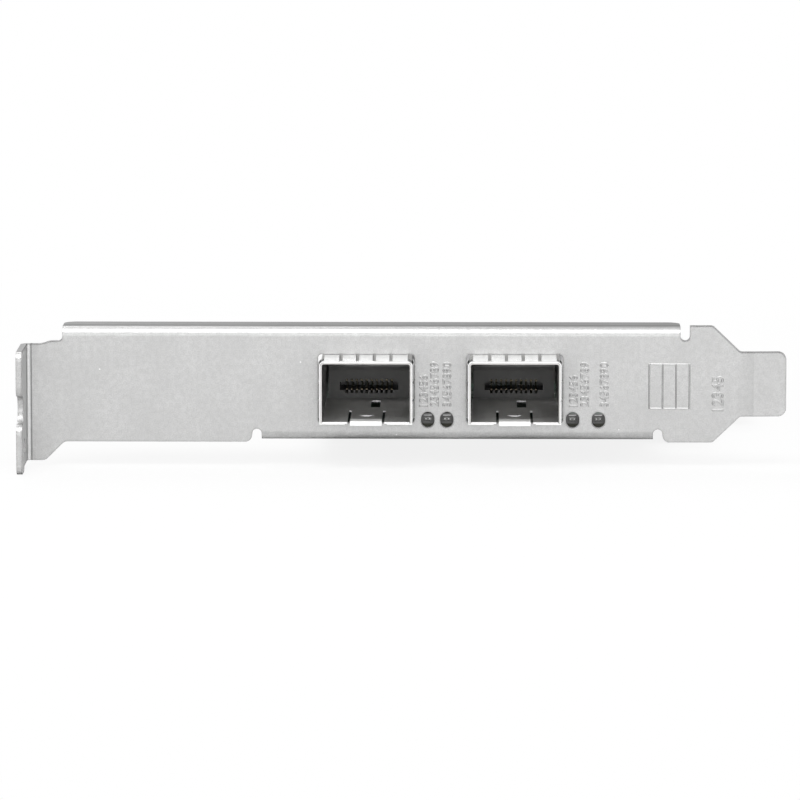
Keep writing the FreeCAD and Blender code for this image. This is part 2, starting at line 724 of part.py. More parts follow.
def tab_waste():
    """Sheet trimmed off above and below the screw tab, seen from its side."""
    free_end = -size.tab_reach - CUT_MARGIN
    behind = size.sheet_gauge + CUT_MARGIN
    flared = tab_low - size.tab_flare
    above = rectangle(free_end, tab_high, behind, plate_high + CUT_MARGIN)
    below = [
        Corner(-size.tab_neck - size.tab_flare, flared),
        Corner(-size.tab_neck, tab_low),
        Corner(behind, tab_low),
        Corner(behind, flared - CUT_MARGIN),
        Corner(-size.tab_neck - size.tab_flare, flared - CUT_MARGIN),
    ]
    return [above, below]


def screw_notch():
    """Open notch in the tab's free end."""
    radius = size.notch_width / 2
    centre = plate_low + size.notch_height
    bottom = -size.tab_reach + size.notch_depth - radius
    outside = -size.tab_reach - CUT_MARGIN
    return [
        Corner(outside, centre - radius),
        Corner(bottom, centre - radius, (bottom, centre)),
        Corner(bottom, centre + radius),
        Corner(outside, centre + radius),
    ]


def flange_profile(edge, outward, depth):
    """A fold from the plate into a flange whose outer face is at the given edge."""
    line = edge - fold_outside * outward
    root = line - fold_outside * outward
    inner_face = edge - size.sheet_gauge * outward
    centre = (fold_outside, line)
    return [
        Corner(zero, root),
        Corner(zero, line, centre, -outward),
        Corner(fold_outside, edge),
        Corner(depth, edge),
        Corner(depth, inner_face),
        Corner(fold_outside, inner_face, centre, outward),
        Corner(size.sheet_gauge, line),
        Corner(size.sheet_gauge, root),
    ]


def lower_slot(place, open_side):
    """Relief slot beside the lower flange, slanting open on the side away from it."""
    radius = size.lower_slot_width / 2
    outside = plate_low - CUT_MARGIN
    flared = place + (radius + size.lower_slot_flare) * open_side
    return [
        Corner(place - radius * open_side, outside),
        Corner(flared, outside),
        Corner(flared, plate_low),
        Corner(place + radius * open_side, lower_slot_roof, (place, lower_slot_roof), open_side),
        Corner(place - radius * open_side, lower_slot_roof),
    ]


def upper_slot():
    """Relief slot past the end of the upper flange."""
    radius = size.upper_slot_width / 2
    left = upper_slot_x - radius
    right = upper_slot_x + radius
    outside = plate_high + CUT_MARGIN
    return [
        Corner(left, outside),
        Corner(left, upper_slot_floor, (upper_slot_x, upper_slot_floor)),
        Corner(right, upper_slot_floor),
        Corner(right, outside),
    ]


def port_opening(centre):
    half = size.cage_width / 2 + size.opening_side_gap
    low = cage_floor_level - size.opening_lower_gap
    high = cage_roof_level + size.opening_upper_gap
    return rounded_rectangle(centre - half, low, centre + half, high, size.opening_corner)


def light_hole(place):
    return upright_slot(place, size.light_level, size.light_hole_width, size.light_hole_height)


def make_bracket():
    piece = Piece("bracket")
    lowest = tab_low - size.tab_flare
    piece.pad(piece.sketch("plan", lowest, [fold_profile()]), plate_high - lowest)
    piece.pocket(piece.sketch("front", 0, [waste_above(), waste_below()]))
    piece.pocket(piece.sketch("side", fold_line, tab_waste()), fold_outside + CUT_MARGIN, forward=False)

    upper_start = tab_side + size.upper_flange_start
    upper = flange_profile(upper_flange_top, 1, size.upper_flange_depth)
    piece.pad(piece.sketch("side", upper_start, [upper]), upper_slot_x - upper_start)
    lower = flange_profile(lower_flange_bottom, -1, size.lower_flange_depth)
    piece.pad(piece.sketch("side", lower_slot_start, [lower]), size.lower_flange_length)
    ears = [
        rectangle(place - size.ear_width / 2, fold_outside, place + size.ear_width / 2, size.ear_reach)
        for place in screw_places.values()
    ]
    piece.pad(piece.sketch("plan", lower_flange_bottom, ears), size.sheet_gauge)

    piece.pocket(piece.sketch("front", 0, [
        upper_slot(),
        lower_slot(lower_slot_start, -1),
        lower_slot(lower_slot_end, 1),
    ]))
    piece.pocket(piece.sketch("front", 0, [port_opening(centre) for centre in port_centres.values()]))
    piece.pocket(piece.sketch("front", 0, [light_hole(place) for place in light_places]))
    tooling = (-size.tooling_depth, plate_low + size.tooling_height, size.tooling_hole)
    side = piece.sketch("side", fold_line, [screw_notch()], [tooling])
    piece.pocket(side, fold_outside + CUT_MARGIN, forward=False)
    thread_hole = size.screw_thread + size.thread_clearance
    threads = [(place, size.screw_depth, thread_hole) for place in screw_places.values()]
    above_flange = board_bottom + size.sheet_gauge
    piece.pocket(piece.sketch("plan", above_flange, circles=threads), 2 * fold_outside, forward=False)

    free_end = -size.tab_reach
    notch_centre = plate_low + size.notch_height
    notch_sides = [notch_centre - size.notch_width / 2, notch_centre + size.notch_width / 2]
    piece.round_corners("x", [(free_end, tab_high), (free_end, lowest)], size.tab_corner)
    piece.round_corners("x", [(free_end, level) for level in notch_sides], size.notch_corner)
    piece.round_corners("y", [(tip, tongue_roof), (tip, tongue_floor)], size.tongue_corner)
    slot_side = upper_slot_x - size.upper_slot_width / 2
    upper_corners = [(place, size.upper_flange_depth) for place in (upper_start, slot_side)]
    lower_corners = [
        (lower_slot_start + size.lower_slot_width / 2, size.lower_flange_depth),
        (lower_slot_end - size.lower_slot_width / 2, size.lower_flange_depth),
    ]
    slot_flare = size.lower_slot_width / 2 + size.lower_slot_flare
    flare_corners = [
        (lower_slot_start - slot_flare, plate_low),
        (lower_slot_end + slot_flare, plate_low),
    ]
    shoulder = tab_high + size.shoulder_rise
    step_corners = [
        (tab_side + size.shoulder_start, tab_high),
        (tab_side + size.shoulder_end, shoulder),
    ]
    land = tab_side + size.end_land
    land_corners = [(land, tab_low), (land + size.tab_shift, plate_low)]
    taper_corners = [
        (taper_start, plate_high),
        (taper_start, plate_low),
        (taper_end, tongue_roof),
        (taper_end, tongue_floor),
    ]
    ear_corners = [
        (place + size.ear_width / 2 * side, size.ear_reach)
        for place in screw_places.values()
        for side in (-1, 1)
    ]
    piece.round_corners("z", upper_corners + ear_corners, size.flange_corner)
    piece.round_corners("z", lower_corners, size.lower_flange_corner)
    piece.round_corners("y", flare_corners, size.lower_slot_corner)
    piece.round_corners("y", step_corners, size.shoulder_blend)
    piece.round_corners("y", [(upper_start, shoulder)], size.shoulder_corner)
    piece.round_corners("y", land_corners, size.land_corner)
    piece.round_corners("y", taper_corners, size.taper_corner)


# Board

def board_outline():
    edge = size.board_right + size.edge_reach
    radius = size.key_width / 2
    key_start = size.key_place - radius
    key_end = size.key_place + radius
    key_bottom = edge - size.key_depth + radius
    return [
        Corner(size.board_left, board_front),
        Corner(board_step_side, board_front),
        Corner(board_step_side, board_step_end),
        Corner(size.board_right, board_step_end),
        Corner(size.board_right, size.edge_start),
        Corner(edge, size.edge_start),
        Corner(edge, key_start),
        Corner(key_bottom, key_start, (key_bottom, size.key_place), -1),
        Corner(key_bottom, key_end),
        Corner(edge, key_end),
        Corner(edge, size.edge_end),
        Corner(size.board_right, size.edge_end),
        Corner(size.board_right, board_end),
        Corner(size.board_left, board_end),
    ]


def make_board():
    piece = Piece("circuit_board")
    piece.pad(piece.sketch("plan", board_bottom, [board_outline()]), size.board_thickness)
    screws = [(place, size.screw_depth, size.board_screw_hole) for place in screw_places.values()]
    pins = [(x, y, size.pin_hole) for x, y in pin_places.values()]
    piece.pocket(piece.sketch("plan", board_top, circles=screws + pins))
    leg_line = size.cage_width / 2 - size.cage_wall / 2
    first_legs = [
        hexagon(centre + leg_line * side, size.leg_start, size.leg_hole)
        for centre in port_centres.values()
        for side in (-1, 1)
    ]
    legs = piece.pocket(piece.sketch("plan", board_top, first_legs))
    piece.repeat([legs], "Y_Axis", size.leg_pitch, size.leg_count)
    edge = size.board_right + size.edge_reach
    piece.bevel_corners("y", [(edge, board_top), (edge, board_bottom)], size.edge_bevel)
    corners = [
        (size.board_left, board_front),
        (board_step_side, board_front),
        (board_step_side, board_step_end),
        (size.board_right, board_step_end),
        (size.board_left, board_end),
        (size.board_right, board_end),
    ]
    piece.round_corners("z", corners, size.board_corner)


def make_edge_contacts():
    """Plated contacts on both faces of the board's edge, on each side of the key notch."""
    piece = Piece("edge_contacts")
    right = size.board_right + size.edge_reach - size.edge_contact_inset
    left = right - size.edge_contact_length
    half = size.edge_contact_width / 2
    before_key = size.key_place - size.key_contact_gap
    past_key = size.key_place + size.key_contact_gap
    levels = (board_top, board_bottom - size.edge_contact_plating)
    for place, sign, count in (
        (before_key - size.edge_contact_pitch * (size.short_side_count - 1), 1, size.short_side_count),
        (past_key, 1, size.long_side_count),
    ):
        outline = rectangle(left, place - half, right, place + half)
        pads = [
            piece.pad(piece.sketch("plan", level, [outline]), size.edge_contact_plating)
            for level in levels
        ]
        piece.repeat(pads, "Y_Axis", size.edge_contact_pitch * sign, count)


# Ports

def cage_window():
    """Window in the side walls, above a leg's shoulder, for a tab of the floor."""
    half = size.floor_tab_length / 2 + size.window_clearance
    top = cage_floor_level + size.cage_wall + size.window_clearance
    return rectangle(size.leg_start - half, cage_floor_level, size.leg_start + half, top)


def cage_leg():
    """A press-fit leg with a tapered tip below its shoulder, seen from the cage's side."""
    half = size.leg_width / 2
    shoulder = size.leg_shoulder / 2
    tip_level = board_bottom - size.leg_projection
    return [
        Corner(size.leg_start - half / 2, tip_level),
        Corner(size.leg_start + half / 2, tip_level),
        Corner(size.leg_start + half, board_bottom),
        Corner(size.leg_start + half, board_top),
        Corner(size.leg_start + shoulder, board_top),
        Corner(size.leg_start + shoulder, cage_floor_level),
        Corner(size.leg_start - shoulder, cage_floor_level),
        Corner(size.leg_start - shoulder, board_top),
        Corner(size.leg_start - half, board_top),
        Corner(size.leg_start - half, board_bottom),
    ]


def make_cage(number, centre):
    """Folded shell of a port: roof, sides and rear wall, with legs, windows and vents."""
    piece = Piece(f"port_cage_{number}")
    half = size.cage_width / 2
    left = centre - half
    right = centre + half
    inner = cage_inner_width / 2
    shell = rectangle(left, cage_floor_level, right, cage_roof_level)
    piece.pad(piece.sketch("front", mouth, [shell]), size.cage_length)
    piece.round_corners("y", [(left, cage_roof_level), (right, cage_roof_level)], size.cage_corner)
    leg = piece.pad(piece.sketch("side", left, [cage_leg()]), size.cage_width)
    piece.repeat([leg], "Y_Axis", size.leg_pitch, size.leg_count)
    under = board_bottom - size.leg_projection - CUT_MARGIN
    channel = rectangle(centre - inner, under, centre + inner, cage_roof_level - size.cage_wall)
    piece.pocket(piece.sketch("front", mouth, [channel]), size.cage_length - size.cage_wall)
    inner_corner = size.cage_corner - size.cage_wall
    roof_inside = cage_roof_level - size.cage_wall
    piece.round_corners("y", [(centre - inner, roof_inside), (centre + inner, roof_inside)], inner_corner)
    window = piece.pocket(piece.sketch("side", 0, [cage_window()]))
    piece.repeat([window], "Y_Axis", size.leg_pitch, size.floor_tab_count)
    vents = [
        hexagon(centre + size.vent_pitch * column, size.vent_start, size.vent_width)
        for column in (-1, 0, 1)
    ]
    above = CUT_MARGIN + size.cage_height
    row = piece.pocket(piece.sketch("plan", 0, vents), above)
    piece.repeat([row], "Y_Axis", size.vent_pitch, size.vent_rows)


def latch_profile():
    """The latch spring: it rises from its root and ramps down at the mouth, seen from the side."""
    floor_top = cage_floor_level + size.cage_wall
    knee = mouth + size.latch_setback
    end = knee - size.latch_ramp_reach
    crest = floor_top + size.latch_rise
    lip = crest - size.latch_ramp_drop
    return [
        Corner(size.latch_root, cage_floor_level),
        Corner(size.latch_root, floor_top),
        Corner(knee, crest),
        Corner(end, lip),
        Corner(end, lip - size.cage_wall),
        Corner(knee, crest - size.cage_wall),
    ]


def make_cage_floor(number, centre):
    """Floor of a port with its side tabs, latch spring and holes."""
    piece = Piece(f"cage_floor_{number}")
    half = cage_inner_width / 2 - size.floor_clearance
    floor = rectangle(centre - half, mouth, centre + half, size.floor_end)
    piece.pad(piece.sketch("plan", cage_floor_level, [floor]), size.cage_wall)
    tab_half = size.cage_width / 2 + size.floor_tab_reach
    tab = centred_rectangle(centre, size.leg_start, 2 * tab_half, size.floor_tab_length)
    tabs = piece.pad(piece.sketch("plan", cage_floor_level, [tab]), size.cage_wall)
    piece.repeat([tabs], "Y_Axis", size.leg_pitch, size.floor_tab_count)
    latch = size.latch_width / 2
    slot_edge = latch + size.latch_slot
    gap = rectangle(centre - slot_edge, mouth - CUT_MARGIN, centre + slot_edge, size.latch_root)
    piece.pocket(piece.sketch("plan", cage_floor_level, [gap]))
    piece.pad(piece.sketch("side", centre - latch, [latch_profile()]), size.latch_width)
    catch = size.latch_hole / 2
    latch_hole = [
        Corner(centre - catch, size.latch_hole_place + catch),
        Corner(centre, size.latch_hole_place - catch),
        Corner(centre + catch, size.latch_hole_place + catch),
    ]
    window = centred_rectangle(
        centre + size.eject_hole_shift,
        size.eject_hole_place,
        size.eject_hole_width,
        size.eject_hole_length,
    )
    piece.pocket(piece.sketch("plan", cage_floor_level, [latch_hole, window]))


def finger_bow(base, outward, bulge, end, swapped=False):
    """A thin strip that bows outward from the band and comes back to the cage.

    The strip runs along Y. Its other coordinate is Z, or X when swapped.
    """
    start = mouth + size.collar_band
    length = end - start
    radius = (length * length / 4 + bulge * bulge) / (2 * bulge)
    middle = (start + end) / 2
    top = base + size.collar_sheet * outward
    lift = (bulge - radius) * outward
    inner_centre = base + lift
    outer_centre = top + lift
    if swapped:
        return [
            Corner(base, start, (inner_centre, middle), outward),
            Corner(base, end),
            Corner(top, end, (outer_centre, middle), -outward),
            Corner(top, start),
        ]
    return [
        Corner(start, base, (middle, inner_centre), -outward),
        Corner(end, base),
        Corner(end, top, (middle, outer_centre), outward),
        Corner(start, top),
    ]


def make_collar(number, centre):
    """Spring collar: a band round the mouth with fingers that reach the bracket's opening."""
    piece = Piece(f"emi_collar_{number}")
    width = size.cage_width / 2
    roof = cage_roof_level
    floor = cage_floor_level
    corner = size.collar_corner
    sheet = size.collar_sheet
    inner = arched_rectangle(centre - width, floor, centre + width, roof, corner)
    outer = arched_rectangle(
        centre - width - sheet, floor - sheet, centre + width + sheet, roof + sheet, corner + sheet
    )
    piece.pad(piece.sketch("front", mouth, [outer, inner]), size.collar_band)
    gap = size.latch_width / 2 + 2 * size.latch_slot
    latch_gap = rectangle(centre - gap, floor - CUT_MARGIN, centre + gap, zero)
    piece.pocket(piece.sketch("front", mouth, [latch_gap]), size.collar_band)

    flat = width - size.cage_corner
    upper_bulge = size.opening_upper_gap - sheet - size.finger_contact_gap
    upper = finger_bow(roof, 1, upper_bulge, size.finger_end)
    piece.pad(piece.sketch("side", centre - flat, [upper]), 2 * flat)
    side_bulge = size.opening_side_gap - sheet - size.finger_contact_gap
    sides = [
        finger_bow(centre + width, 1, side_bulge, size.finger_end, swapped=True),
        finger_bow(centre - width, -1, side_bulge, size.finger_end, swapped=True),
    ]
    side_low = cage_floor_level + size.cage_corner
    side_high = cage_roof_level - size.cage_corner
    piece.pad(piece.sketch("plan", side_low, sides), side_high - side_low)
    lower = finger_bow(floor, -1, size.lower_finger_bulge, size.lower_finger_end)
    lower_width = flat - gap
    for start in (centre - flat, centre + gap):
        piece.pad(piece.sketch("side", start, [lower]), lower_width)

    slit_start = mouth + size.collar_band
    slit_end = size.finger_end + CUT_MARGIN
    above = CUT_MARGIN + size.cage_height
    finger_pitch = 2 * flat / size.upper_finger_count
    first = centre - flat + finger_pitch
    slit = rectangle(first - size.finger_slot / 2, slit_start, first + size.finger_slot / 2, slit_end)
    upper_slit = piece.pocket(piece.sketch("plan", 0, [slit]), above)
    piece.repeat([upper_slit], "X_Axis", finger_pitch, size.upper_finger_count - 1)
    side_pitch = (side_high - side_low) / size.side_finger_count
    level = side_low + side_pitch
    side_slit = rectangle(slit_start, level - size.finger_slot / 2, slit_end, level + size.finger_slot / 2)
    side_slits = piece.pocket(piece.sketch("side", 0, [side_slit]))
    piece.repeat([side_slits], "Z_Axis", side_pitch, size.side_finger_count - 1)


def make_connector(number, centre):
    """Card-edge connector at the back of a port."""
    piece = Piece(f"port_connector_{number}")
    top = board_top + size.connector_height
    half = cage_inner_width / 2 - size.connector_side_gap
    front = size.connector_front
    block = rectangle(centre - half, board_top, centre + half, top)
    piece.pad(piece.sketch("front", front, [block]), size.connector_length)
    piece.bevel_corners("x", [(front, top)], size.connector_bevel)
    level = board_top + size.card_slot_level
    slot = centred_rectangle(centre, level, size.card_slot_width, size.card_slot_height)
    piece.pocket(piece.sketch("front", front, [slot]), size.card_slot_depth)
    first = centre - size.contact_pitch * (size.contact_count - 1) / 2
    groove_height = size.card_slot_height + 2 * size.contact_groove_depth
    groove = centred_rectangle(first, level, size.contact_groove, groove_height)
    grooves = piece.pocket(piece.sketch("front", front, [groove]), size.connector_length)
    piece.repeat([grooves], "X_Axis", size.contact_pitch, size.contact_count)


def contact_path(level, leg):
    """A contact that lies along its groove, drops to the board and ends in a foot."""
    start = size.connector_front + size.contact_setback
    sheet = size.contact_thickness
    return [
        Corner(start, level),
        Corner(leg - sheet, level),
        Corner(leg - sheet, board_top),
        Corner(leg + size.contact_foot, board_top),
        Corner(leg + size.contact_foot, board_top + sheet),
        Corner(leg, board_top + sheet),
        Corner(leg, level + sheet),
        Corner(start, level + sheet),
    ]


def make_connector_contacts(number, centre):
    """Two rows of contacts with soldered feet behind the connector."""
    piece = Piece(f"connector_contacts_{number}")
    slot = board_top + size.card_slot_level
    edge = size.card_slot_height / 2
    lower_level = slot - edge - size.contact_thickness
    upper_level = slot + edge
    rear = size.connector_front + size.connector_length + size.contact_row_gap / 2
    first = centre - size.contact_pitch * (size.contact_count - 1) / 2 - size.contact_width / 2
    rows = [(lower_level, rear), (upper_level, rear + size.contact_row_gap)]
    pads = [
        piece.pad(piece.sketch("side", first, [contact_path(level, leg)]), size.contact_width)
        for level, leg in rows
    ]
    piece.repeat(pads, "X_Axis", size.contact_pitch, size.contact_count)


def make_light(number, place):
    """Side-facing indicator on the board's front edge."""
    piece = Piece(f"port_led_{number}")
    front = board_front - size.light_overhang
    half = size.light_width / 2
    block = rectangle(place - half, board_top, place + half, board_top + size.light_height)
    piece.pad(piece.sketch("front", front, [block]), size.light_depth)
    level = board_top + size.light_height / 2
    window = centred_rectangle(place, level, size.light_window_width, size.light_window_height)
    piece.pocket(piece.sketch("front", front, [window]), size.light_window_depth)


# Controller and heat sink

def make_chip():
    piece = Piece("controller_chip")
    x = size.chip_place
    y = chip_depth
    carrier = centred_rectangle(x, y, size.chip_width, size.chip_width)
    piece.pad(piece.sketch("plan", board_top, [carrier]), size.chip_carrier)
    half = size.chip_lid_width / 2
    lid = rounded_rectangle(x - half, y - half, x + half, y + half, size.chip_lid_corner)
    piece.pad(piece.sketch("plan", board_top + size.chip_carrier, [lid]), size.chip_lid)


def make_thermal_pad():
    piece = Piece("thermal_pad")
    side = size.chip_lid_width - 2 * size.chip_lid_corner
    pad = centred_rectangle(size.chip_place, chip_depth, side, side)
    piece.pad(piece.sketch("plan", chip_top, [pad]), size.pad_thickness)


def make_heatsink():
    """Extruded heat sink with fins along the air flow, cleared round the push pins."""
    piece = Piece("heatsink")
    x = size.chip_place
    y = chip_depth
    base = centred_rectangle(x, y, sink_width, size.sink_length)
    piece.pad(piece.sketch("plan", sink_bottom, [base]), size.sink_base)
    left = x - sink_width / 2
    front = y - size.sink_length / 2
    fin = rectangle(left, sink_floor, left + size.fin_thickness, sink_floor + size.fin_height)
    fins = piece.pad(piece.sketch("front", front, [fin]), size.sink_length)
    fin_pitch = (sink_width - size.fin_thickness) / (size.fin_count - 1)
    piece.repeat([fins], "X_Axis", fin_pitch, size.fin_count)
    outer = size.pin_margin + CUT_MARGIN
    clearings = []
    for (pin_x, pin_y), side in zip(pin_places.values(), (-1, 1)):
        inner_x = pin_x - size.pin_recess * side
        inner_y = pin_y - size.pin_recess * side
        outer_x = pin_x + outer * side
        outer_y = pin_y + outer * side
        corners = rectangle(inner_x, inner_y, outer_x, outer_y)
        clearings.append(corners)
    piece.pocket(piece.sketch("plan", sink_floor, clearings), size.fin_height + CUT_MARGIN)
    holes = [(pin_x, pin_y, size.pin_hole) for pin_x, pin_y in pin_places.values()]
    piece.pocket(piece.sketch("plan", sink_floor, circles=holes))


def make_heatsink_pin(number, place):
    """Push pin with a head, a shank through the board and a slit barbed tip."""
    piece = Piece(f"heatsink_pin_{number}")
    shank = size.pin_shank / 2
    head = size.pin_head / 2
    barb = size.pin_barb / 2
    under_board = board_bottom - sink_floor
    tip_level = under_board - size.pin_barb_height
    head_level = size.spring_height
    piece.turn([
        Corner(zero, tip_level),
        Corner(shank / 2, tip_level),
        Corner(barb, under_board - size.pin_barb_height / 4),
        Corner(barb, under_board),
        Corner(shank, under_board),
        Corner(shank, head_level),
        Corner(head, head_level),
        Corner(head, head_level + size.pin_head_height),
        Corner(zero, head_level + size.pin_head_height),
    ])
    slit = centred_rectangle(zero, tip_level, size.pin_slit, 2 * (size.pin_barb_height + size.board_thickness))
    piece.pocket(piece.sketch("front", 0, [slit]))
    piece.place(*place, sink_floor)


def make_pin_spring(number, place):
    """Coil spring between the heat sink's base and a push pin's head."""
    piece = Piece(f"pin_spring_{number}")
    wire = centred_rectangle(size.spring_diameter / 2, size.spring_wire / 2, size.spring_wire, size.spring_wire)
    sketch = piece.sketch("front", 0, [wire])
    document.recompute()
    coil = piece.body.newObject("PartDesign::AdditiveHelix", "coil")
    coil.Profile = sketch
    coil.ReferenceAxis = (sketch, ["V_Axis"])
    coil.Mode = "height-turns-angle"
    coil.setExpression("Height", (size.spring_height - size.spring_wire).text)
    coil.setExpression("Turns", size.spring_turns.text)
    piece.finish(coil)
    piece.place(*place, sink_floor)


# Power parts and small parts

def make_block(label, x, y, width, length, height):
    """A part with straight sides on the board's upper face."""
    piece = Piece(label)
    piece.pad(piece.sketch("plan", board_top, [centred_rectangle(x, y, width, length)]), height)
    return piece


def make_inductor(number):
    """Moulded power inductor with bevelled corners."""
    x = size.inductor_place
    width = size.inductor_width
    y = power_front + width / 2 + size.inductor_pitch * (number - 1)
    piece = make_block(f"power_inductor_{number}", x, y, width, width, size.inductor_height)
    half = width / 2
    corners = [(x + half * a, y + half * b) for a in (-1, 1) for b in (-1, 1)]
    piece.bevel_corners("z", corners, size.inductor_bevel)


def make_polymer_capacitors():
    """A row of polymer capacitors with bevelled upper edges."""
    x = size.polymer_place
    y = polymer_depth
    piece = Piece("polymer_capacitors")
    outline = centred_rectangle(x, y, size.polymer_length, size.polymer_width)
    block = piece.pad(piece.sketch("plan", board_top, [outline]), size.polymer_height - size.polymer_bevel)
    inset = 2 * size.polymer_bevel
    crown = centred_rectangle(x, y, size.polymer_length - inset, size.polymer_width - inset)
    crown_level = board_top + size.polymer_height - size.polymer_bevel
    top = piece.pad(piece.sketch("plan", crown_level, [crown]), size.polymer_bevel)
    piece.repeat([block, top], "Y_Axis", size.polymer_pitch, size.polymer_count)


def make_flash_memory():
    """Eight-lead memory chip with bent leads."""
    piece = Piece("flash_memory")
    x = sink_side - size.flash_length / 2
    y = chip_depth - size.flash_offset
    base = board_top + size.flash_standoff
    body_height = size.flash_height - size.flash_standoff
    side = size.flash_length
    piece.pad(piece.sketch("plan", base, [centred_rectangle(x, y, side, side)]), body_height)
    middle = base + body_height / 2
    sheet = size.lead_thickness
    leads = []
    first = x - size.lead_pitch * (size.lead_count - 1) / 2 - size.lead_width / 2
    for direction in (-1, 1):
        wall = y + side / 2 * direction
        knee = wall + size.lead_reach / 2 * direction
        end = wall + size.lead_reach * direction
        lead = [
            Corner(wall, middle),
            Corner(wall, middle - sheet),
            Corner(knee - sheet * direction, middle - sheet),
            Corner(knee - sheet * direction, board_top),
            Corner(end, board_top),
            Corner(end, board_top + sheet),
            Corner(knee, board_top + sheet),
            Corner(knee, middle),
        ]
        leads.append(piece.pad(piece.sketch("side", first, [lead]), size.lead_width))
    piece.repeat(leads, "X_Axis", size.lead_pitch, size.lead_count)


def make_chip_parts(label, x, y, height, columns, rows):
    """A field of small chip parts in rows."""
    piece = Piece(label)
    outline = centred_rectangle(x, y, size.chip_part_width, size.chip_part_length)
    part = piece.pad(piece.sketch("plan", board_top, [outline]), height)
    line = piece.repeat([part], "X_Axis", size.chip_part_pitch, columns)
    if rows.value > 1:
        line.Direction2 = (piece.datum("Y_Axis"), [""])
        line.setExpression("Length2", (size.chip_part_row * (rows - 1)).text)
        line.setExpression("Occurrences2", rows.text)
        piece.finish(line)


def make_screw(number, x):
    """Pan-head screw that holds an ear of the bracket under the board."""
    piece = Piece(f"bracket_screw_{number}")
    head = size.screw_head / 2
    thread = size.screw_thread / 2
    bevel = size.screw_head_bevel
    height = size.screw_head_height
    end = lower_flange_bottom + size.screw_end_gap - board_top
    piece.turn([
        Corner(zero, end),
        Corner(thread, end),
        Corner(thread, zero),
        Corner(head, zero),
        Corner(head, height - bevel),
        Corner(head - bevel, height),
        Corner(zero, height),
    ])
    bars = [
        centred_rectangle(zero, zero, size.screw_recess, size.screw_recess_width),
        centred_rectangle(zero, zero, size.screw_recess_width, size.screw_recess),
    ]
    for bar in bars:
        piece.pocket(piece.sketch("plan", height, [bar]), size.screw_recess_depth, forward=False)
    piece.place(x, size.screw_depth, board_top)


def make_card():
    make_bracket()
    make_board()
    make_edge_contacts()
    for number, centre in port_centres.items():
        make_cage(number, centre)
        make_cage_floor(number, centre)
        make_collar(number, centre)
        make_connector(number, centre)
        make_connector_contacts(number, centre)
    for number, place in enumerate(light_places, start=1):
        make_light(number, place)
    make_chip()
    make_thermal_pad()
    make_heatsink()
    for number, place in pin_places.items():
        make_heatsink_pin(number, place)
        make_pin_spring(number, place)
    for number in (1, 2, 3):
        make_inductor(number)
    make_polymer_capacitors()
    regulator = (size.regulator_width, size.regulator_width, size.regulator_height)
    for number, place in (("1", size.inductor_place - size.inductor_pitch), ("2", size.chip_place)):
        make_block(f"regulator_chip_{number}", place, power_front + size.regulator_offset, *regulator)
    make_flash_memory()
    clock = (size.clock_length, size.clock_width, size.clock_height)
    clock_x = sink_side - size.clock_length / 2
    make_block("clock_oscillator", clock_x, chip_depth + size.clock_offset, *clock)
    small_left = size.polymer_place + size.polymer_length
    make_chip_parts(
        "ceramic_capacitors", small_left, polymer_depth,
        size.capacitor_height, size.capacitor_columns, size.chip_part_rows,
    )
    make_chip_parts(
        "resistors", small_left, polymer_depth + 3 * size.polymer_pitch,
        size.resistor_height, size.resistor_columns, size.chip_part_rows,
    )
    for number, place in screw_places.items():
        make_screw(number, place)


def check_and_write():
    """Checks every object of the document, then writes one file for each body."""
    document.recompute()
    for item in document.Objects:
        if "Invalid" in item.State or "Error" in item.State:
            raise RuntimeError(f"{item.Label} failed: {item.State}")
    bodies = [item for item in document.Objects if item.TypeId == "PartDesign::Body"]
    for body in bodies:
        if body.Shape.isNull() or not body.Shape.isValid():
            raise RuntimeError(f"{body.Label} has no valid shape")
    os.makedirs("parts", exist_ok=True)
    for body in bodies:
        body.Shape.exportStep(f"parts/{body.Label}.step")
        print(f"{body.Label}: {len(body.Shape.Solids)} solids, {body.Shape.Volume:.2f} mm3")


make_card()
check_and_write()
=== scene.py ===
"""Finishes, small fittings, studio and camera for the two-port network interface card.

The card's own solids come from the frame and keep their shapes. Every size here is in millimetres, and X, Y
and Z are the frame's: X along the bracket, Y from the bracket's front face back over the board, Z up.
"""
import logging
import math
import random
from dataclasses import dataclass
from enum import Enum
from typing import Sequence

import bmesh
import bpy
from mathutils import Matrix, Vector


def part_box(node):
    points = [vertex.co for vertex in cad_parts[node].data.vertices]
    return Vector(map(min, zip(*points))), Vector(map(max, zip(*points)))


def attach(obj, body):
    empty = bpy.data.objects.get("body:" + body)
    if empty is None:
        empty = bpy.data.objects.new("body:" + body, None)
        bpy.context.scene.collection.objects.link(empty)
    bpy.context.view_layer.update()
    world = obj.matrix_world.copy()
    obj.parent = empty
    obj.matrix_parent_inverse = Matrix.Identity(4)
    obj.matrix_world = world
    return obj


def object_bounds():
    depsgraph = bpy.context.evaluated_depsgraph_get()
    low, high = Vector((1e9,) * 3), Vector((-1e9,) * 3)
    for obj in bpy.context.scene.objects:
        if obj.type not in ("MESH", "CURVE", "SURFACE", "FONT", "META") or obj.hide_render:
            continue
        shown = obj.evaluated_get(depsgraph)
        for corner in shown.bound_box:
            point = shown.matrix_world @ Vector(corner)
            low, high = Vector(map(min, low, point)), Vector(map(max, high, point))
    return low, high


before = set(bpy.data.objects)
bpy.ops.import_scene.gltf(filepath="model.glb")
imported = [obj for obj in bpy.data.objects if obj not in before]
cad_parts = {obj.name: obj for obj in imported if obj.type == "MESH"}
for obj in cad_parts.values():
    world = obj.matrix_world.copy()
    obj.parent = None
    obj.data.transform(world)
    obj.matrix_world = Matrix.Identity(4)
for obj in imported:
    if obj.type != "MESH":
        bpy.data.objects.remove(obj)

MM = 0.001  # one millimetre in metres
FRAME_BOX = [list(corner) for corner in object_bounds()]
PLATING = 0.03  # height of the plated rings and lands
JOIN = 0.001  # corners nearer to each other than this are one
NUMERAL_SHARE = 0.7  # a numeral's height as a share of its font's size
log = logging.getLogger("network_interface_card")

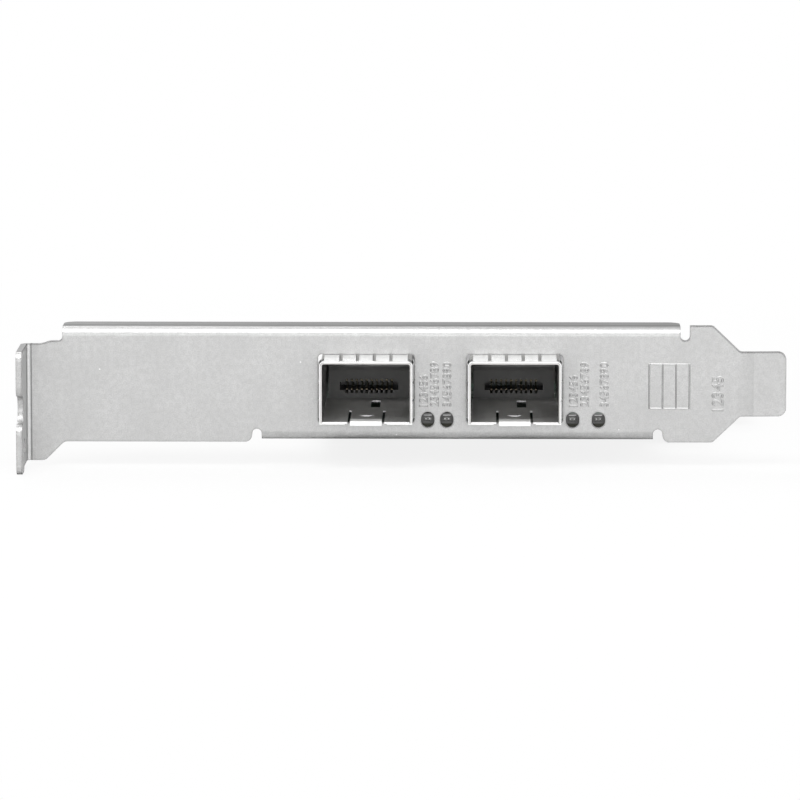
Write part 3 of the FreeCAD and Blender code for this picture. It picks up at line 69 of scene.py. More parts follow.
Pair = tuple[float, float]
Triple = tuple[float, float, float]
Colour = Triple


def grey(level: float) -> Colour:
    """A grey of that level."""
    return (level, level, level)


class Axis(Enum):
    """The three directions of the frame."""

    X = 0
    Y = 1
    Z = 2

    def stretch(self, reach: float) -> Triple:
        """A stretch along this direction alone."""
        return tuple(reach if axis is self else 1.0 for axis in Axis)


# Shaders


class Value:
    """A shader socket that joins in arithmetic and adds its own Math nodes."""

    def __init__(self, shader: "NodeTree", socket: bpy.types.NodeSocket) -> None:
        """Keep the socket.

        Args:
            shader: The node tree's builder.
            socket: The output socket that carries the value.
        """
        self.shader = shader
        self.socket = socket

    def _math(self, operation: str, *terms: "Value | float") -> "Value":
        """Add a Math node on these terms, in this order."""
        made = self.shader.node("ShaderNodeMath", {"operation": operation}, dict(enumerate(terms)))
        return Value(self.shader, made.outputs[0])

    def __add__(self, other: "Value | float") -> "Value":
        """This value plus another."""
        return self._math("ADD", self, other)

    def __radd__(self, other: float) -> "Value":
        """A number plus this value."""
        return self._math("ADD", other, self)

    def __sub__(self, other: "Value | float") -> "Value":
        """This value less another."""
        return self._math("SUBTRACT", self, other)

    def __rsub__(self, other: float) -> "Value":
        """A number less this value."""
        return self._math("SUBTRACT", other, self)

    def __mul__(self, other: "Value | float") -> "Value":
        """This value times another."""
        return self._math("MULTIPLY", self, other)

    def __rmul__(self, other: float) -> "Value":
        """A number times this value."""
        return self._math("MULTIPLY", other, self)

    def __pow__(self, other: float) -> "Value":
        """This value to a power."""
        return self._math("POWER", self, other)

    def __rpow__(self, other: float) -> "Value":
        """A number to the power of this value."""
        return self._math("POWER", other, self)

    def __gt__(self, other: float) -> "Value":
        """1 where this value is above a number, 0 elsewhere."""
        return self._math("GREATER_THAN", self, other)

    def __lt__(self, other: float) -> "Value":
        """1 where this value is below a number, 0 elsewhere."""
        return self._math("LESS_THAN", self, other)

    def wave(self, pitch: float) -> "Value":
        """Sine of this value, with one turn to each pitch."""
        return self._math("SINE", self * (2.0 * math.pi / pitch))

    def distance_to(self, other: float) -> "Value":
        """How far this value is from a number, either way."""
        return self._math("ABSOLUTE", self - other)

    def between(self, low: float, high: float) -> "Value":
        """0 at the low number, 1 at the high one, with a soft step between.

        Args:
            low: The value where the step starts.
            high: The value where the step ends.

        Returns:
            The step.
        """
        settings = {"interpolation_type": "SMOOTHSTEP", "clamp": True}
        inputs = {"Value": self, "From Min": low, "From Max": high}
        made = self.shader.node("ShaderNodeMapRange", settings, inputs)
        return Value(self.shader, made.outputs[0])

    def band(self, middle: float, full: float, gone: float) -> "Value":
        """1 within the full distance of a number, 0 beyond the gone one, either way."""
        return 1.0 - self.distance_to(middle).between(full, gone)


class NodeTree:
    """Adds nodes to one tree; every node of this script comes from the node method."""

    def __init__(self, tree: bpy.types.NodeTree) -> None:
        """Start from an empty tree.

        Args:
            tree: The tree to fill.
        """
        self.tree = tree
        self.tree.nodes.clear()

    def node(self, kind: str, settings: dict, inputs: dict) -> bpy.types.Node:
        """Add any node.

        Args:
            kind: The node's type.
            settings: Its own settings, set first.
            inputs: What goes into its sockets, by name or number: a number, a colour, a socket or a Value.

        Returns:
            The new node.
        """
        made = self.tree.nodes.new(kind)
        for name, choice in settings.items():
            setattr(made, name, choice)
        for key, given in inputs.items():
            self.feed(made.inputs[key], given)
        return made

    def feed(self, socket: bpy.types.NodeSocket, given: object) -> None:
        """Set or link one input socket.

        Args:
            socket: The input.
            given: A number, a colour, a socket or a Value.
        """
        if isinstance(given, Value):
            self.tree.links.new(given.socket, socket)
        elif isinstance(given, bpy.types.NodeSocket):
            self.tree.links.new(given, socket)
        elif isinstance(given, tuple) and socket.type == "RGBA":
            socket.default_value = (*given, 1.0)
        else:
            socket.default_value = given

    def vector(self, operation: str, *terms: object, scale: float | None = None) -> bpy.types.NodeSocket:
        """Add a Vector Math node.

        Args:
            operation: What it works out.
            terms: The vectors that go in.
            scale: The number for a Scale operation.

        Returns:
            The vector that comes out, or the number for a dot product.
        """
        inputs: dict = dict(enumerate(terms))
        if scale is not None:
            inputs["Scale"] = scale
        made = self.node("ShaderNodeVectorMath", {"operation": operation}, inputs)
        return made.outputs["Value" if operation == "DOT_PRODUCT" else "Vector"]

    def split(self, vector: bpy.types.NodeSocket) -> list[Value]:
        """The three numbers of a vector."""
        parts = self.node("ShaderNodeSeparateXYZ", {}, {0: vector})
        return [Value(self, one) for one in parts.outputs]

    def blend(self, share: "Value | float", under: object, over: object) -> bpy.types.NodeSocket:
        """Lay one colour over another.

        Args:
            share: How much of the upper colour shows, from 0 to 1.
            under: The lower colour.
            over: The upper colour.

        Returns:
            The joined colour.
        """
        settings = {"data_type": "RGBA", "blend_type": "MIX", "clamp_factor": True}
        return self.node("ShaderNodeMix", settings, {0: share, 6: under, 7: over}).outputs[2]

    def sight(self) -> Value:
        """1 for what the camera sees straight on or through glass, 0 for light on its way to a surface."""
        ray = self.node("ShaderNodeLightPath", {}, {})
        return Value(self, ray.outputs["Is Camera Ray"]) + Value(self, ray.outputs["Is Transmission Ray"])

    def mirror(self) -> Value:
        """1 for what a shiny surface reflects, 0 for everything else."""
        return Value(self, self.node("ShaderNodeLightPath", {}, {}).outputs["Is Glossy Ray"])


class Shader(NodeTree):
    """Builds one material's nodes, with X, Y and Z in millimetres."""

    NOISE_ROUGHNESS = 0.55
    BEVEL_SAMPLES = 4

    def __init__(self, title: str) -> None:
        """Start a material with a Principled surface.

        Args:
            title: The material's name.
        """
        self.material = bpy.data.materials.new(title)
        self.material.use_nodes = True
        super().__init__(self.material.node_tree)
        self.surface = self.node("ShaderNodeBsdfPrincipled", {}, {})
        self.output = self.node("ShaderNodeOutputMaterial", {}, {"Surface": self.surface.outputs[0]})
        place = self.node("ShaderNodeTexCoord", {}, {}).outputs["Object"]
        self.place = self.vector("SCALE", place, scale=1.0 / MM)
        self.x, self.y, self.z = self.split(self.place)

    def noise(self, grain: float, detail: float = 2.0, stretch: Triple = (1.0, 1.0, 1.0)) -> Value:
        """Soft noise over the surface.

        Args:
            grain: The size of its spots in millimetres.
            detail: How many finer layers it has.
            stretch: How much longer the spots are along X, Y and Z.

        Returns:
            The noise, from 0 to 1.
        """
        place = self.vector("MULTIPLY", self.place, tuple(1.0 / (grain * one) for one in stretch))
        inputs = {"Vector": place, "Scale": 1.0, "Detail": detail, "Roughness": self.NOISE_ROUGHNESS}
        return Value(self, self.node("ShaderNodeTexNoise", {}, inputs).outputs[0])

    def cells(self, grain: float) -> Value:
        """How far each point is from the nearest of many scattered points.

        Args:
            grain: The distance between those points in millimetres.

        Returns:
            The distance, as a share of the grain.
        """
        made = self.node("ShaderNodeTexVoronoi", {}, {"Vector": self.place, "Scale": 1.0 / grain})
        return Value(self, made.outputs["Distance"])

    def broken_normal(self, radius: float) -> bpy.types.NodeSocket:
        """The surface's direction with its sharp edges broken to a radius in millimetres."""
        settings = {"samples": self.BEVEL_SAMPLES}
        return self.node("ShaderNodeBevel", settings, {"Radius": radius * MM}).outputs[0]

    def facing(self) -> bpy.types.NodeSocket:
        """The surface's own direction."""
        return self.node("ShaderNodeNewGeometry", {}, {}).outputs["Normal"]

    def edge_shade_line(self, radius: float, side: float) -> Value:
        """A line of painted shade along the sharp edges of the faces that look forward, partly a darker
        sheared edge, full on the upper edges.

        Args:
            radius: How far the line reaches from an edge, in millimetres.
            side: The line's share on the edges that turn sideways or down.

        Returns:
            The line's share.
        """
        broken, facing = self.broken_normal(radius), self.facing()
        likeness = Value(self, self.vector("DOT_PRODUCT", broken, facing))
        rise = self.split(broken)[2].between(0.05, 0.4)
        level = 1.0 - self.split(facing)[2].between(0.3, 0.8)
        return (1.0 - likeness).between(0.002, 0.05) * level * (rise * (1.0 - side) + side)

    def raise_surface(self, height: Value, depth: float, edge: float = 0.0) -> None:
        """Give the surface relief.

        Args:
            height: The relief from 0 to 1.
            depth: Its depth in millimetres.
            edge: The radius that sharp edges are broken to.
        """
        inputs: dict = {"Height": height, "Distance": depth * MM}
        if edge:
            inputs["Normal"] = self.broken_normal(edge)
        bump = self.node("ShaderNodeBump", {}, inputs)
        self.feed(self.surface.inputs["Normal"], bump.outputs[0])

    def dress(self, **inputs: object) -> None:
        """Set the surface's own sockets.

        Args:
            inputs: Values or links by socket name, with underscores for spaces.
        """
        for name, given in inputs.items():
            self.feed(self.surface.inputs[name.replace("_", " ")], given)


# Finishes


@dataclass(frozen=True)
class Finish:
    """What every finish has."""

    title: str
    colour: Colour
    roughness: float

    def paint(self, shader: Shader) -> None:
        """Lay the finish on a shader.

        Args:
            shader: The shader that is being built.
        """
        raise NotImplementedError

    def material(self) -> bpy.types.Material:
        """Make the finish's material.

        Returns:
            The material.
        """
        shader = Shader(self.title)
        self.paint(shader)
        return shader.material

    def shade(self, share: float, lift: float = 0.0) -> Colour:
        """The finish's own colour, darker or lighter by a share and lifted by a little."""
        return tuple(min(1.0, share * one + lift) for one in self.colour)


@dataclass(frozen=True)
class RolledSteel(Finish):
    """Plated steel sheet with a fine satin grain, soft clouds and a few bright specks."""

    grain: float = 0.2
    mottle: float = 0.8
    cloud: float = 6.0
    speck: float = 4.5
    speck_size: float = 0.03
    depth: float = 0.007
    edge: float = 0.1
    shear_and_shade_reach: float = 0.44
    shear_and_shade_side: float = 0.28
    fold_shade_line: float = 1.60
    fold_shade_width: float = 0.09
    fold_middle: float = 1.18
    fold_reach: float = 0.26
    fold_front: float = -1.4
    tongue_bend: float = 5.12
    bend_reach: float = 3.5
    flange_start: float = 2.1
    flange_lip: float = 2.7
    tab_start: float = -1.6
    relief: float = 0.0
    grazing: Colour = grey(0.5)

    def paint(self, shader: Shader) -> None:
        """Lay the finish on a shader.

        Args:
            shader: The shader that is being built.
        """
        grain = shader.noise(self.grain, 3.0)
        mottle = shader.noise(self.mottle, 2.0)
        rolled = shader.noise(self.grain, 2.0, Axis.X.stretch(6.0))
        cloud = shader.noise(self.cloud, 3.0)
        speck = shader.cells(self.speck) < self.speck_size
        dark = self.shade(0.88)
        fleck = grain.between(0.3, 0.7) * 0.6 + mottle.between(0.3, 0.7) * 0.4
        tone = shader.blend(fleck, dark, self.shade(1.12))
        tone = shader.blend(cloud.between(0.3, 0.7) * 0.35, tone, dark)
        tone = shader.blend(speck * 0.7, tone, grey(0.95))
        tone = self.mark_faces(shader, tone)
        if not self.relief:
            # painted shade: a dark line along the forward faces' sharp edges, strongest on the upper edges,
            # partly a darker sheared edge
            shear_and_shade = shader.edge_shade_line(self.shear_and_shade_reach, self.shear_and_shade_side)
            tone = shader.blend(shear_and_shade * 0.9, tone, self.shade(0.14))
            tone = self.mark_fold(shader, tone)
        rough = self.roughness + (cloud - 0.5) * 0.10 + (rolled - 0.5) * 0.12
        shader.dress(Base_Color=tone, Metallic=1.0, Roughness=rough, Specular_Tint=self.grazing)
        shader.raise_surface(grain * 0.6 + rolled * 0.4, self.depth, self.edge)

    def mark_fold(self, shader: Shader, tone: bpy.types.NodeSocket) -> bpy.types.NodeSocket:
        """Paint a highlight on the curve of the tab's fold, a line of painted shade beside it, and painted
        shade before the tongue's bend with painted light beyond it.

        Args:
            shader: The shader that is being built.
            tone: The colour so far.

        Returns:
            The colour with these marks.
        """
        reach = shader.x - span("bracket").low.x
        front = shader.y > self.fold_front
        # painted shade: a dark line beside the tab's fold; painted highlight: the fold's curve lighter
        line = reach.band(self.fold_shade_line, 0.5 * self.fold_shade_width, 1.5 * self.fold_shade_width)
        hollow = reach.band(self.fold_middle, 0.6 * self.fold_reach, 1.2 * self.fold_reach)
        tone = shader.blend(hollow * front * 0.3, tone, grey(0.9))
        tone = shader.blend(line * front * 0.8, tone, self.shade(0.3))
        # painted shade before the tongue's bend and painted light beyond it
        bend = span("bracket").high.x - self.tongue_bend
        before = shader.x.between(bend - self.bend_reach, bend) * (shader.x < bend)
        bend_light = shader.x > bend
        return shader.vector("SCALE", tone, scale=1.0 - before * 0.07 + bend_light * 0.03)

    def mark_faces(self, shader: Shader, tone: bpy.types.NodeSocket) -> bpy.types.NodeSocket:
        """Paint shade on the flange's upper face with a darker line across it, paint light on the tab's face,
        and paint shade and highlight on the sides of stamped marks.

        Args:
            shader: The shader that is being built.
            tone: The colour so far.

        Returns:
            The colour with the faces told apart.
        """
        across, _, rise = shader.split(shader.facing())
        # painted shade on the stamped marks' sides that turn along X, painted highlight on those that turn up
        # or down
        if self.relief:
            flank_shade = across.distance_to(0.0).between(0.05, 0.4)
            tone = shader.blend(flank_shade * self.relief, tone, self.shade(0.2))
            return shader.blend(rise.distance_to(0.0).between(0.1, 0.6) * self.relief, tone, grey(0.97))
        # painted shade: the flange's upper face darker, with a darker line across it near the bend's end
        flange = rise.between(0.8, 0.95) * (shader.y > self.flange_start)
        lip_shade = shader.y.band(self.flange_lip, 0.3, 0.7)
        tone = shader.blend(flange * 0.5, tone, self.shade(0.7))
        tone = shader.blend(flange * lip_shade * 0.5, tone, self.shade(0.3))
        # painted light: the tab's side face, which faces along X, made lighter
        tab = across.distance_to(0.0).between(0.8, 0.95) * (shader.y < self.tab_start)
        return shader.blend(tab * 0.85, tone, self.shade(1.5))


@dataclass(frozen=True)
class BrightSheet(Finish):
    """Thin nickel or tin sheet, nearly smooth, with drawing marks along one direction."""

    along: Axis = Axis.Y
    mark: float = 0.05
    mark_length: float = 24.0
    haze: float = 3.5
    scratch: float = 0.09
    depth: float = 0.0025
    edge: float = 0.05
    side_shade: float = 0.0
    side_shade_colour: Colour = grey(0.04)
    grazing: Colour = grey(0.8)

    def paint(self, shader: Shader) -> None:
        """Lay the finish on a shader, with painted shade on the side faces in front of the plate where it is
        asked for.

        Args:
            shader: The shader that is being built.
        """
        stretch = self.along.stretch(self.mark_length)
        drawn = shader.noise(self.mark, 3.0, stretch)
        haze = shader.noise(self.haze, 4.0)
        scratch = shader.noise(self.scratch, 1.0, tuple(3.0 * one for one in stretch)).between(0.66, 0.74)
        tone = shader.blend(haze.between(0.35, 0.75) * 0.35, self.colour, self.shade(0.8))
        tone = shader.blend(scratch * 0.25, tone, self.shade(1.15))
        # painted shade: the side faces in front of the plate darkened
        if self.side_shade:
            across = shader.split(shader.facing())[0].distance_to(0.0)
            side = across.between(0.05, 0.35) * (shader.y < 0.0)
            tone = shader.blend(side * self.side_shade, tone, self.side_shade_colour)
        rough = self.roughness + (haze - 0.5) * 0.16 + (drawn - 0.5) * 0.12 + scratch * 0.08
        shader.dress(Base_Color=tone, Metallic=1.0, Roughness=rough, Specular_Tint=self.grazing)
        shader.raise_surface(drawn, self.depth, self.edge)


@dataclass(frozen=True)
class RubbedAndHighlightSheet(BrightSheet):
    """Cage floor sheet whose latch spring is rubbed to a pale satin where modules slide in, the pale patch
    partly a painted highlight, and whose forward faces carry a painted highlight.
    """

    rub_and_highlight_end: float = -1.5
    rub_and_highlight_half: float = 2.47
    rub_and_highlight_fade: Pair = (0.15, 0.05)
    rub_and_highlight_colour: Colour = (0.93, 0.93, 0.92)
    streak: float = 0.12
    metal: float = 0.88

    def paint(self, shader: Shader) -> None:
        """Lay the finish on a shader.

        Args:
            shader: The shader that is being built.
        """
        super().paint(shader)
        # partly rubbing, partly painted highlight: the latch spring's front made pale and less metallic
        end_fade, side_fade = self.rub_and_highlight_fade
        rub_and_highlight = 1.0 - shader.y.between(self.rub_and_highlight_end - end_fade, self.rub_and_highlight_end + end_fade)
        edge = (self.rub_and_highlight_half - side_fade, self.rub_and_highlight_half + side_fade)
        first, second = (shader.x.band(span(node).centre.x, *edge) for node in numbered("cage_floor", 2))
        rub_and_highlight = rub_and_highlight * (first + second)
        streak = shader.noise(self.streak, 2.0, Axis.Y.stretch(10.0)).between(0.2, 0.8)
        tone = shader.surface.inputs["Base Color"].links[0].from_socket
        tone = shader.blend(rub_and_highlight * (streak * 0.15 + 0.85), tone, self.rub_and_highlight_colour)
        # painted highlight: the faces that look forward made white
        front_highlight = (0.0 - shader.split(shader.facing())[1]).between(0.7, 0.9)
        tone = shader.blend(front_highlight, tone, grey(1.0))
        shader.dress(Base_Color=tone, Metallic=self.metal - rub_and_highlight * 0.6)


@dataclass(frozen=True)
class SolderMask(Finish):
    """Board lacquer over copper, with the bare laminate's layers at the board's edges."""

    laminate: Colour = (0.12, 0.12, 0.095)
    copper: Colour = (0.018, 0.062, 0.036)
    track: Colour = (0.036, 0.115, 0.066)
    layer: Colour = (0.066, 0.066, 0.05225)
    inset: float = 0.045
    track_start: float = 0.012
    track_end: float = 0.2
    weave_pitch: float = 0.45
    layer_pitch: float = 0.2
    cloud: float = 6.0
    pour: float = 11.0
    peel: float = 0.35
    depth: float = 0.012

    def paint(self, shader: Shader) -> None:
        """Lay the finish on a shader.

        Args:
            shader: The shader that is being built.
        """
        board = span("circuit_board")
        weave = shader.x.wave(self.weave_pitch) * shader.y.wave(self.weave_pitch)
        cloud = shader.noise(self.cloud, 3.0)
        pour = shader.noise(self.pour, 0.0, Axis.Y.stretch(1.6)).between(0.47, 0.49)
        peel = shader.noise(self.peel, 2.0)
        tone = shader.blend(pour * 0.75, self.colour, self.copper)
        over_track = (shader.z > board.high.z + self.track_start) * (shader.z < board.high.z + self.track_end)
        tone = shader.blend(over_track, tone, self.track)
        tone = shader.blend(cloud.between(0.3, 0.8) * 0.3, tone, self.shade(0.7))
        layers = shader.z.wave(self.layer_pitch) * 0.5 + 0.5
        side = shader.blend(layers * 0.5, self.laminate, self.layer)
        edge = (shader.z < board.high.z - self.inset) * (shader.z > board.low.z + self.inset)
        tone = shader.blend(edge, tone, side)
        rough = self.roughness + (peel - 0.5) * 0.1 + edge * 0.45 + (cloud - 0.5) * 0.08
        shader.dress(Base_Color=tone, Roughness=rough, Specular_IOR_Level=0.5)
        shader.raise_surface(peel * 0.5 + weave * 0.12 + pour * 0.5, self.depth)


@dataclass(frozen=True)
class Moulding(Finish):
    """Moulded plastic or epoxy with a spark-eroded grain and small flow marks."""

    grain: float = 0.12
    depth: float = 0.01
    flow: float = 2.6
    flow_share: float = 0.25

    def paint(self, shader: Shader) -> None:
        """Lay the finish on a shader.

        Args:
            shader: The shader that is being built.
        """
        grain = shader.noise(self.grain, 3.0)
        flow = shader.noise(self.flow, 3.0, Axis.Y.stretch(2.5))
        lighter = self.shade(1.35, lift=0.004)
        tone = shader.blend(flow.between(0.3, 0.75) * self.flow_share, self.colour, lighter)
        tone = shader.blend(grain.between(0.5, 0.8) * 0.2, tone, lighter)
        rough = self.roughness + (grain - 0.5) * 0.14 + (flow - 0.5) * 0.1
        shader.dress(Base_Color=tone, Roughness=rough)
        shader.raise_surface(grain, self.depth)


@dataclass(frozen=True)
class Plating(Finish):
    """Soft plated metal, gold or solder, with faint pitting and a wiped look."""

    pit: float = 0.07
    wipe: Axis = Axis.X
    wipe_width: float = 0.06
    stain: float = 1.7
    depth: float = 0.003

    def paint(self, shader: Shader) -> None:
        """Lay the finish on a shader.

        Args:
            shader: The shader that is being built.
        """
        pits = shader.noise(self.pit, 2.0)
        wiped = shader.noise(self.wipe_width, 2.0, self.wipe.stretch(12.0))
        stain = shader.noise(self.stain, 3.0)
        tone = shader.blend(stain.between(0.4, 0.8) * 0.4, self.colour, self.shade(0.75))
        rough = self.roughness + (wiped - 0.5) * 0.2 + (stain - 0.5) * 0.15
        shader.dress(Base_Color=tone, Metallic=1.0, Roughness=rough)
        shader.raise_surface(pits * 0.5 + wiped * 0.5, self.depth)


@dataclass(frozen=True)
class Extrusion(Finish):
    """Extruded aluminium with die lines along its fins and a light oxide bloom."""

    line: float = 0.09
    line_length: float = 60.0
    bloom: float = 4.0
    depth: float = 0.02

    def paint(self, shader: Shader) -> None:
        """Lay the finish on a shader.

        Args:
            shader: The shader that is being built.
        """
        lines = shader.noise(self.line, 3.0, Axis.Y.stretch(self.line_length))
        bloom = shader.noise(self.bloom, 4.0)
        tone = shader.blend(bloom.between(0.3, 0.8) * 0.35, self.colour, self.shade(0.78))
        tone = shader.blend(lines.between(0.45, 0.7) * 0.2, tone, self.shade(0.7))
        rough = self.roughness + (lines - 0.5) * 0.25 + (bloom - 0.5) * 0.1
        shader.dress(Base_Color=tone, Metallic=0.92, Roughness=rough)
        shader.raise_surface(lines, self.depth)


@dataclass(frozen=True)
class PressedPowder(Finish):
    """Pressed and sintered powder: ferrite or ceramic, granular with pale chips along its faces."""

    chip: Colour = grey(0.2)
    chip_pitch: float = 0.8
    chip_size: float = 0.09
    powder: float = 0.08
    clump: float = 0.6
    depth: float = 0.02

    def paint(self, shader: Shader) -> None:
        """Lay the finish on a shader.

        Args:
            shader: The shader that is being built.
        """
        powder = shader.noise(self.powder, 4.0)
        clump = shader.noise(self.clump, 3.0)
        chips = shader.cells(self.chip_pitch) < self.chip_size
        tone = shader.blend(powder.between(0.3, 0.7) * 0.5, self.colour, self.shade(1.5))
        tone = shader.blend(chips * clump * 0.7, tone, self.chip)
        rough = self.roughness + (powder - 0.5) * 0.2
        shader.dress(Base_Color=tone, Roughness=rough)
        shader.raise_surface(powder * 0.7 + clump * 0.3, self.depth)


@dataclass(frozen=True)
class ClearLens(Finish):
    """Milky indicator lens with a faint glow of the die behind it."""

    glow: Colour = (0.75, 0.76, 0.72)
    milk: float = 0.25
    coat: float = 0.4
    depth: float = 0.01

    def paint(self, shader: Shader) -> None:
        """Lay the finish on a shader.

        Args:
            shader: The shader that is being built.
        """
        milk = shader.noise(self.milk, 2.0)
        tone = shader.blend(milk.between(0.3, 0.7), self.colour, self.glow)
        shader.dress(Base_Color=tone, Roughness=self.roughness + (milk - 0.5) * 0.1, Coat_Weight=self.coat)
        shader.raise_surface(milk, self.depth)


@dataclass(frozen=True)
class Ink(Finish):
    """Printed legend ink, slightly uneven in cover."""

    grain: float = 0.15
    depth: float = 0.006

    def paint(self, shader: Shader) -> None:
        """Lay the finish on a shader.

        Args:
            shader: The shader that is being built.
        """
        cover = shader.noise(self.grain, 3.0)
        tone = shader.blend(cover.between(0.35, 0.8) * 0.4, self.colour, self.shade(0.6))
        shader.dress(Base_Color=tone, Roughness=self.roughness + (cover - 0.5) * 0.1)
        shader.raise_surface(cover, self.depth)


class Finishes:
    """Every finish of the card, made once and shared."""

    TABLE: tuple[Finish, ...] = (
        RolledSteel("bracket_steel", (0.56, 0.56, 0.558), 0.42),
        # relief: the share of painted shade and highlight on the stamped marks' sides
        RolledSteel("stamped_steel", (0.50, 0.50, 0.498), 0.42, relief=0.95),
        BrightSheet("cage_nickel", (0.66, 0.655, 0.64), 0.30, side_shade=0.9),
        RubbedAndHighlightSheet("floor_nickel", (0.84, 0.835, 0.82), 0.36),
        BrightSheet("collar_tin", (0.97, 0.97, 0.965), 0.30, Axis.X, side_shade=0.58, grazing=grey(1.0)),
        SolderMask("board_laminate", (0.010, 0.040, 0.023), 0.34),
        Plating("plated_gold", (0.83, 0.60, 0.24), 0.24),
        Plating("solder", (0.72, 0.72, 0.73), 0.30),
        Moulding("connector_plastic", (0.27, 0.27, 0.271), 0.50),
        Moulding("indicator_plastic", (0.13, 0.13, 0.128), 0.38),
        Moulding("chip_package", (0.020, 0.020, 0.022), 0.52),
        Moulding("pad_rubber", (0.30, 0.31, 0.34), 0.80, 0.2, 0.02),
        Extrusion("sink_aluminium", (0.70, 0.70, 0.71), 0.36),
        Moulding("pin_plastic", (0.60, 0.59, 0.55), 0.42),
        BrightSheet("spring_steel", (0.62, 0.62, 0.63), 0.24),
        PressedPowder("inductor_ferrite", (0.055, 0.055, 0.058), 0.62),
        Moulding("capacitor_mould", (0.030, 0.028, 0.027), 0.40),
        Plating("oscillator_lid", (0.74, 0.72, 0.66), 0.28),
        PressedPowder("ceramic_body", (0.19, 0.135, 0.085), 0.50, (0.35, 0.3, 0.22)),
        PressedPowder("resistor_body", (0.014, 0.014, 0.016), 0.42, grey(0.08)),
        Plating("tinned_end", grey(0.8), 0.30),
        Plating("contact_gold", (0.30, 0.26, 0.19), 0.45, 0.07, Axis.Y),
        BrightSheet("screw_nickel", (0.68, 0.68, 0.67), 0.26, Axis.Z),
        ClearLens("indicator_lens", (0.16, 0.162, 0.158), 0.22, (0.34, 0.345, 0.33)),
        Ink("legend_ink", (0.72, 0.73, 0.70), 0.60),
    )

    def __init__(self) -> None:
        """Make every material."""
        self.made = {finish.title: finish.material() for finish in self.TABLE}

    def __getitem__(self, title: str) -> bpy.types.Material:
        """The material of that name."""
        return self.made[title]


# Places and meshes


@dataclass(frozen=True)
class Span:
    """A box in millimetres, by its lowest and highest corners."""

    low: Vector
    high: Vector

    @property
    def centre(self) -> Vector:
        """The middle of the box."""
        return (self.low + self.high) / 2.0

    def ends(self, axis: Axis) -> tuple[Pair, Pair]:
        """Its two ends along a direction, each with the sign that leads out of the box there."""
        return (self.low[axis.value], -1.0), (self.high[axis.value], 1.0)


def numbered(name: str, count: int) -> list[str]:
    """The nodes that share a name and are told apart by a number."""
    return [f"{name}_{number}" for number in range(1, count + 1)]


def span(node: str) -> Span:
    """The box of one of the frame's solids."""
    low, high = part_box(node)
    return Span(low / MM, high / MM)


def solids(node: str) -> list[Span]:
    """The boxes of the separate solids in one node.

    Args:
        node: The node that holds them.

    Returns:
        One box for each solid, in the order of their lowest X and Y, then their highest.
    """
    mesh = bmesh.new()
    mesh.from_mesh(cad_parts[node].data)
    bmesh.ops.remove_doubles(mesh, verts=mesh.verts, dist=JOIN * MM)
    left = set(mesh.verts)
    found = []
    while left:
        stack = [left.pop()]
        group = list(stack)
        while stack:
            for edge in stack.pop().link_edges:
                for vert in edge.verts:
                    if vert in left:
                        left.discard(vert)
                        stack.append(vert)
                        group.append(vert)
        places = [vert.co / MM for vert in group]
        low, high = (Vector(map(pick, zip(*places))) for pick in (min, max))
        found.append(Span(low, high))
    mesh.free()
    return sorted(found, key=lambda one: tuple(round(place, 2) for place in (*one.low.xy, *one.high.xy)))


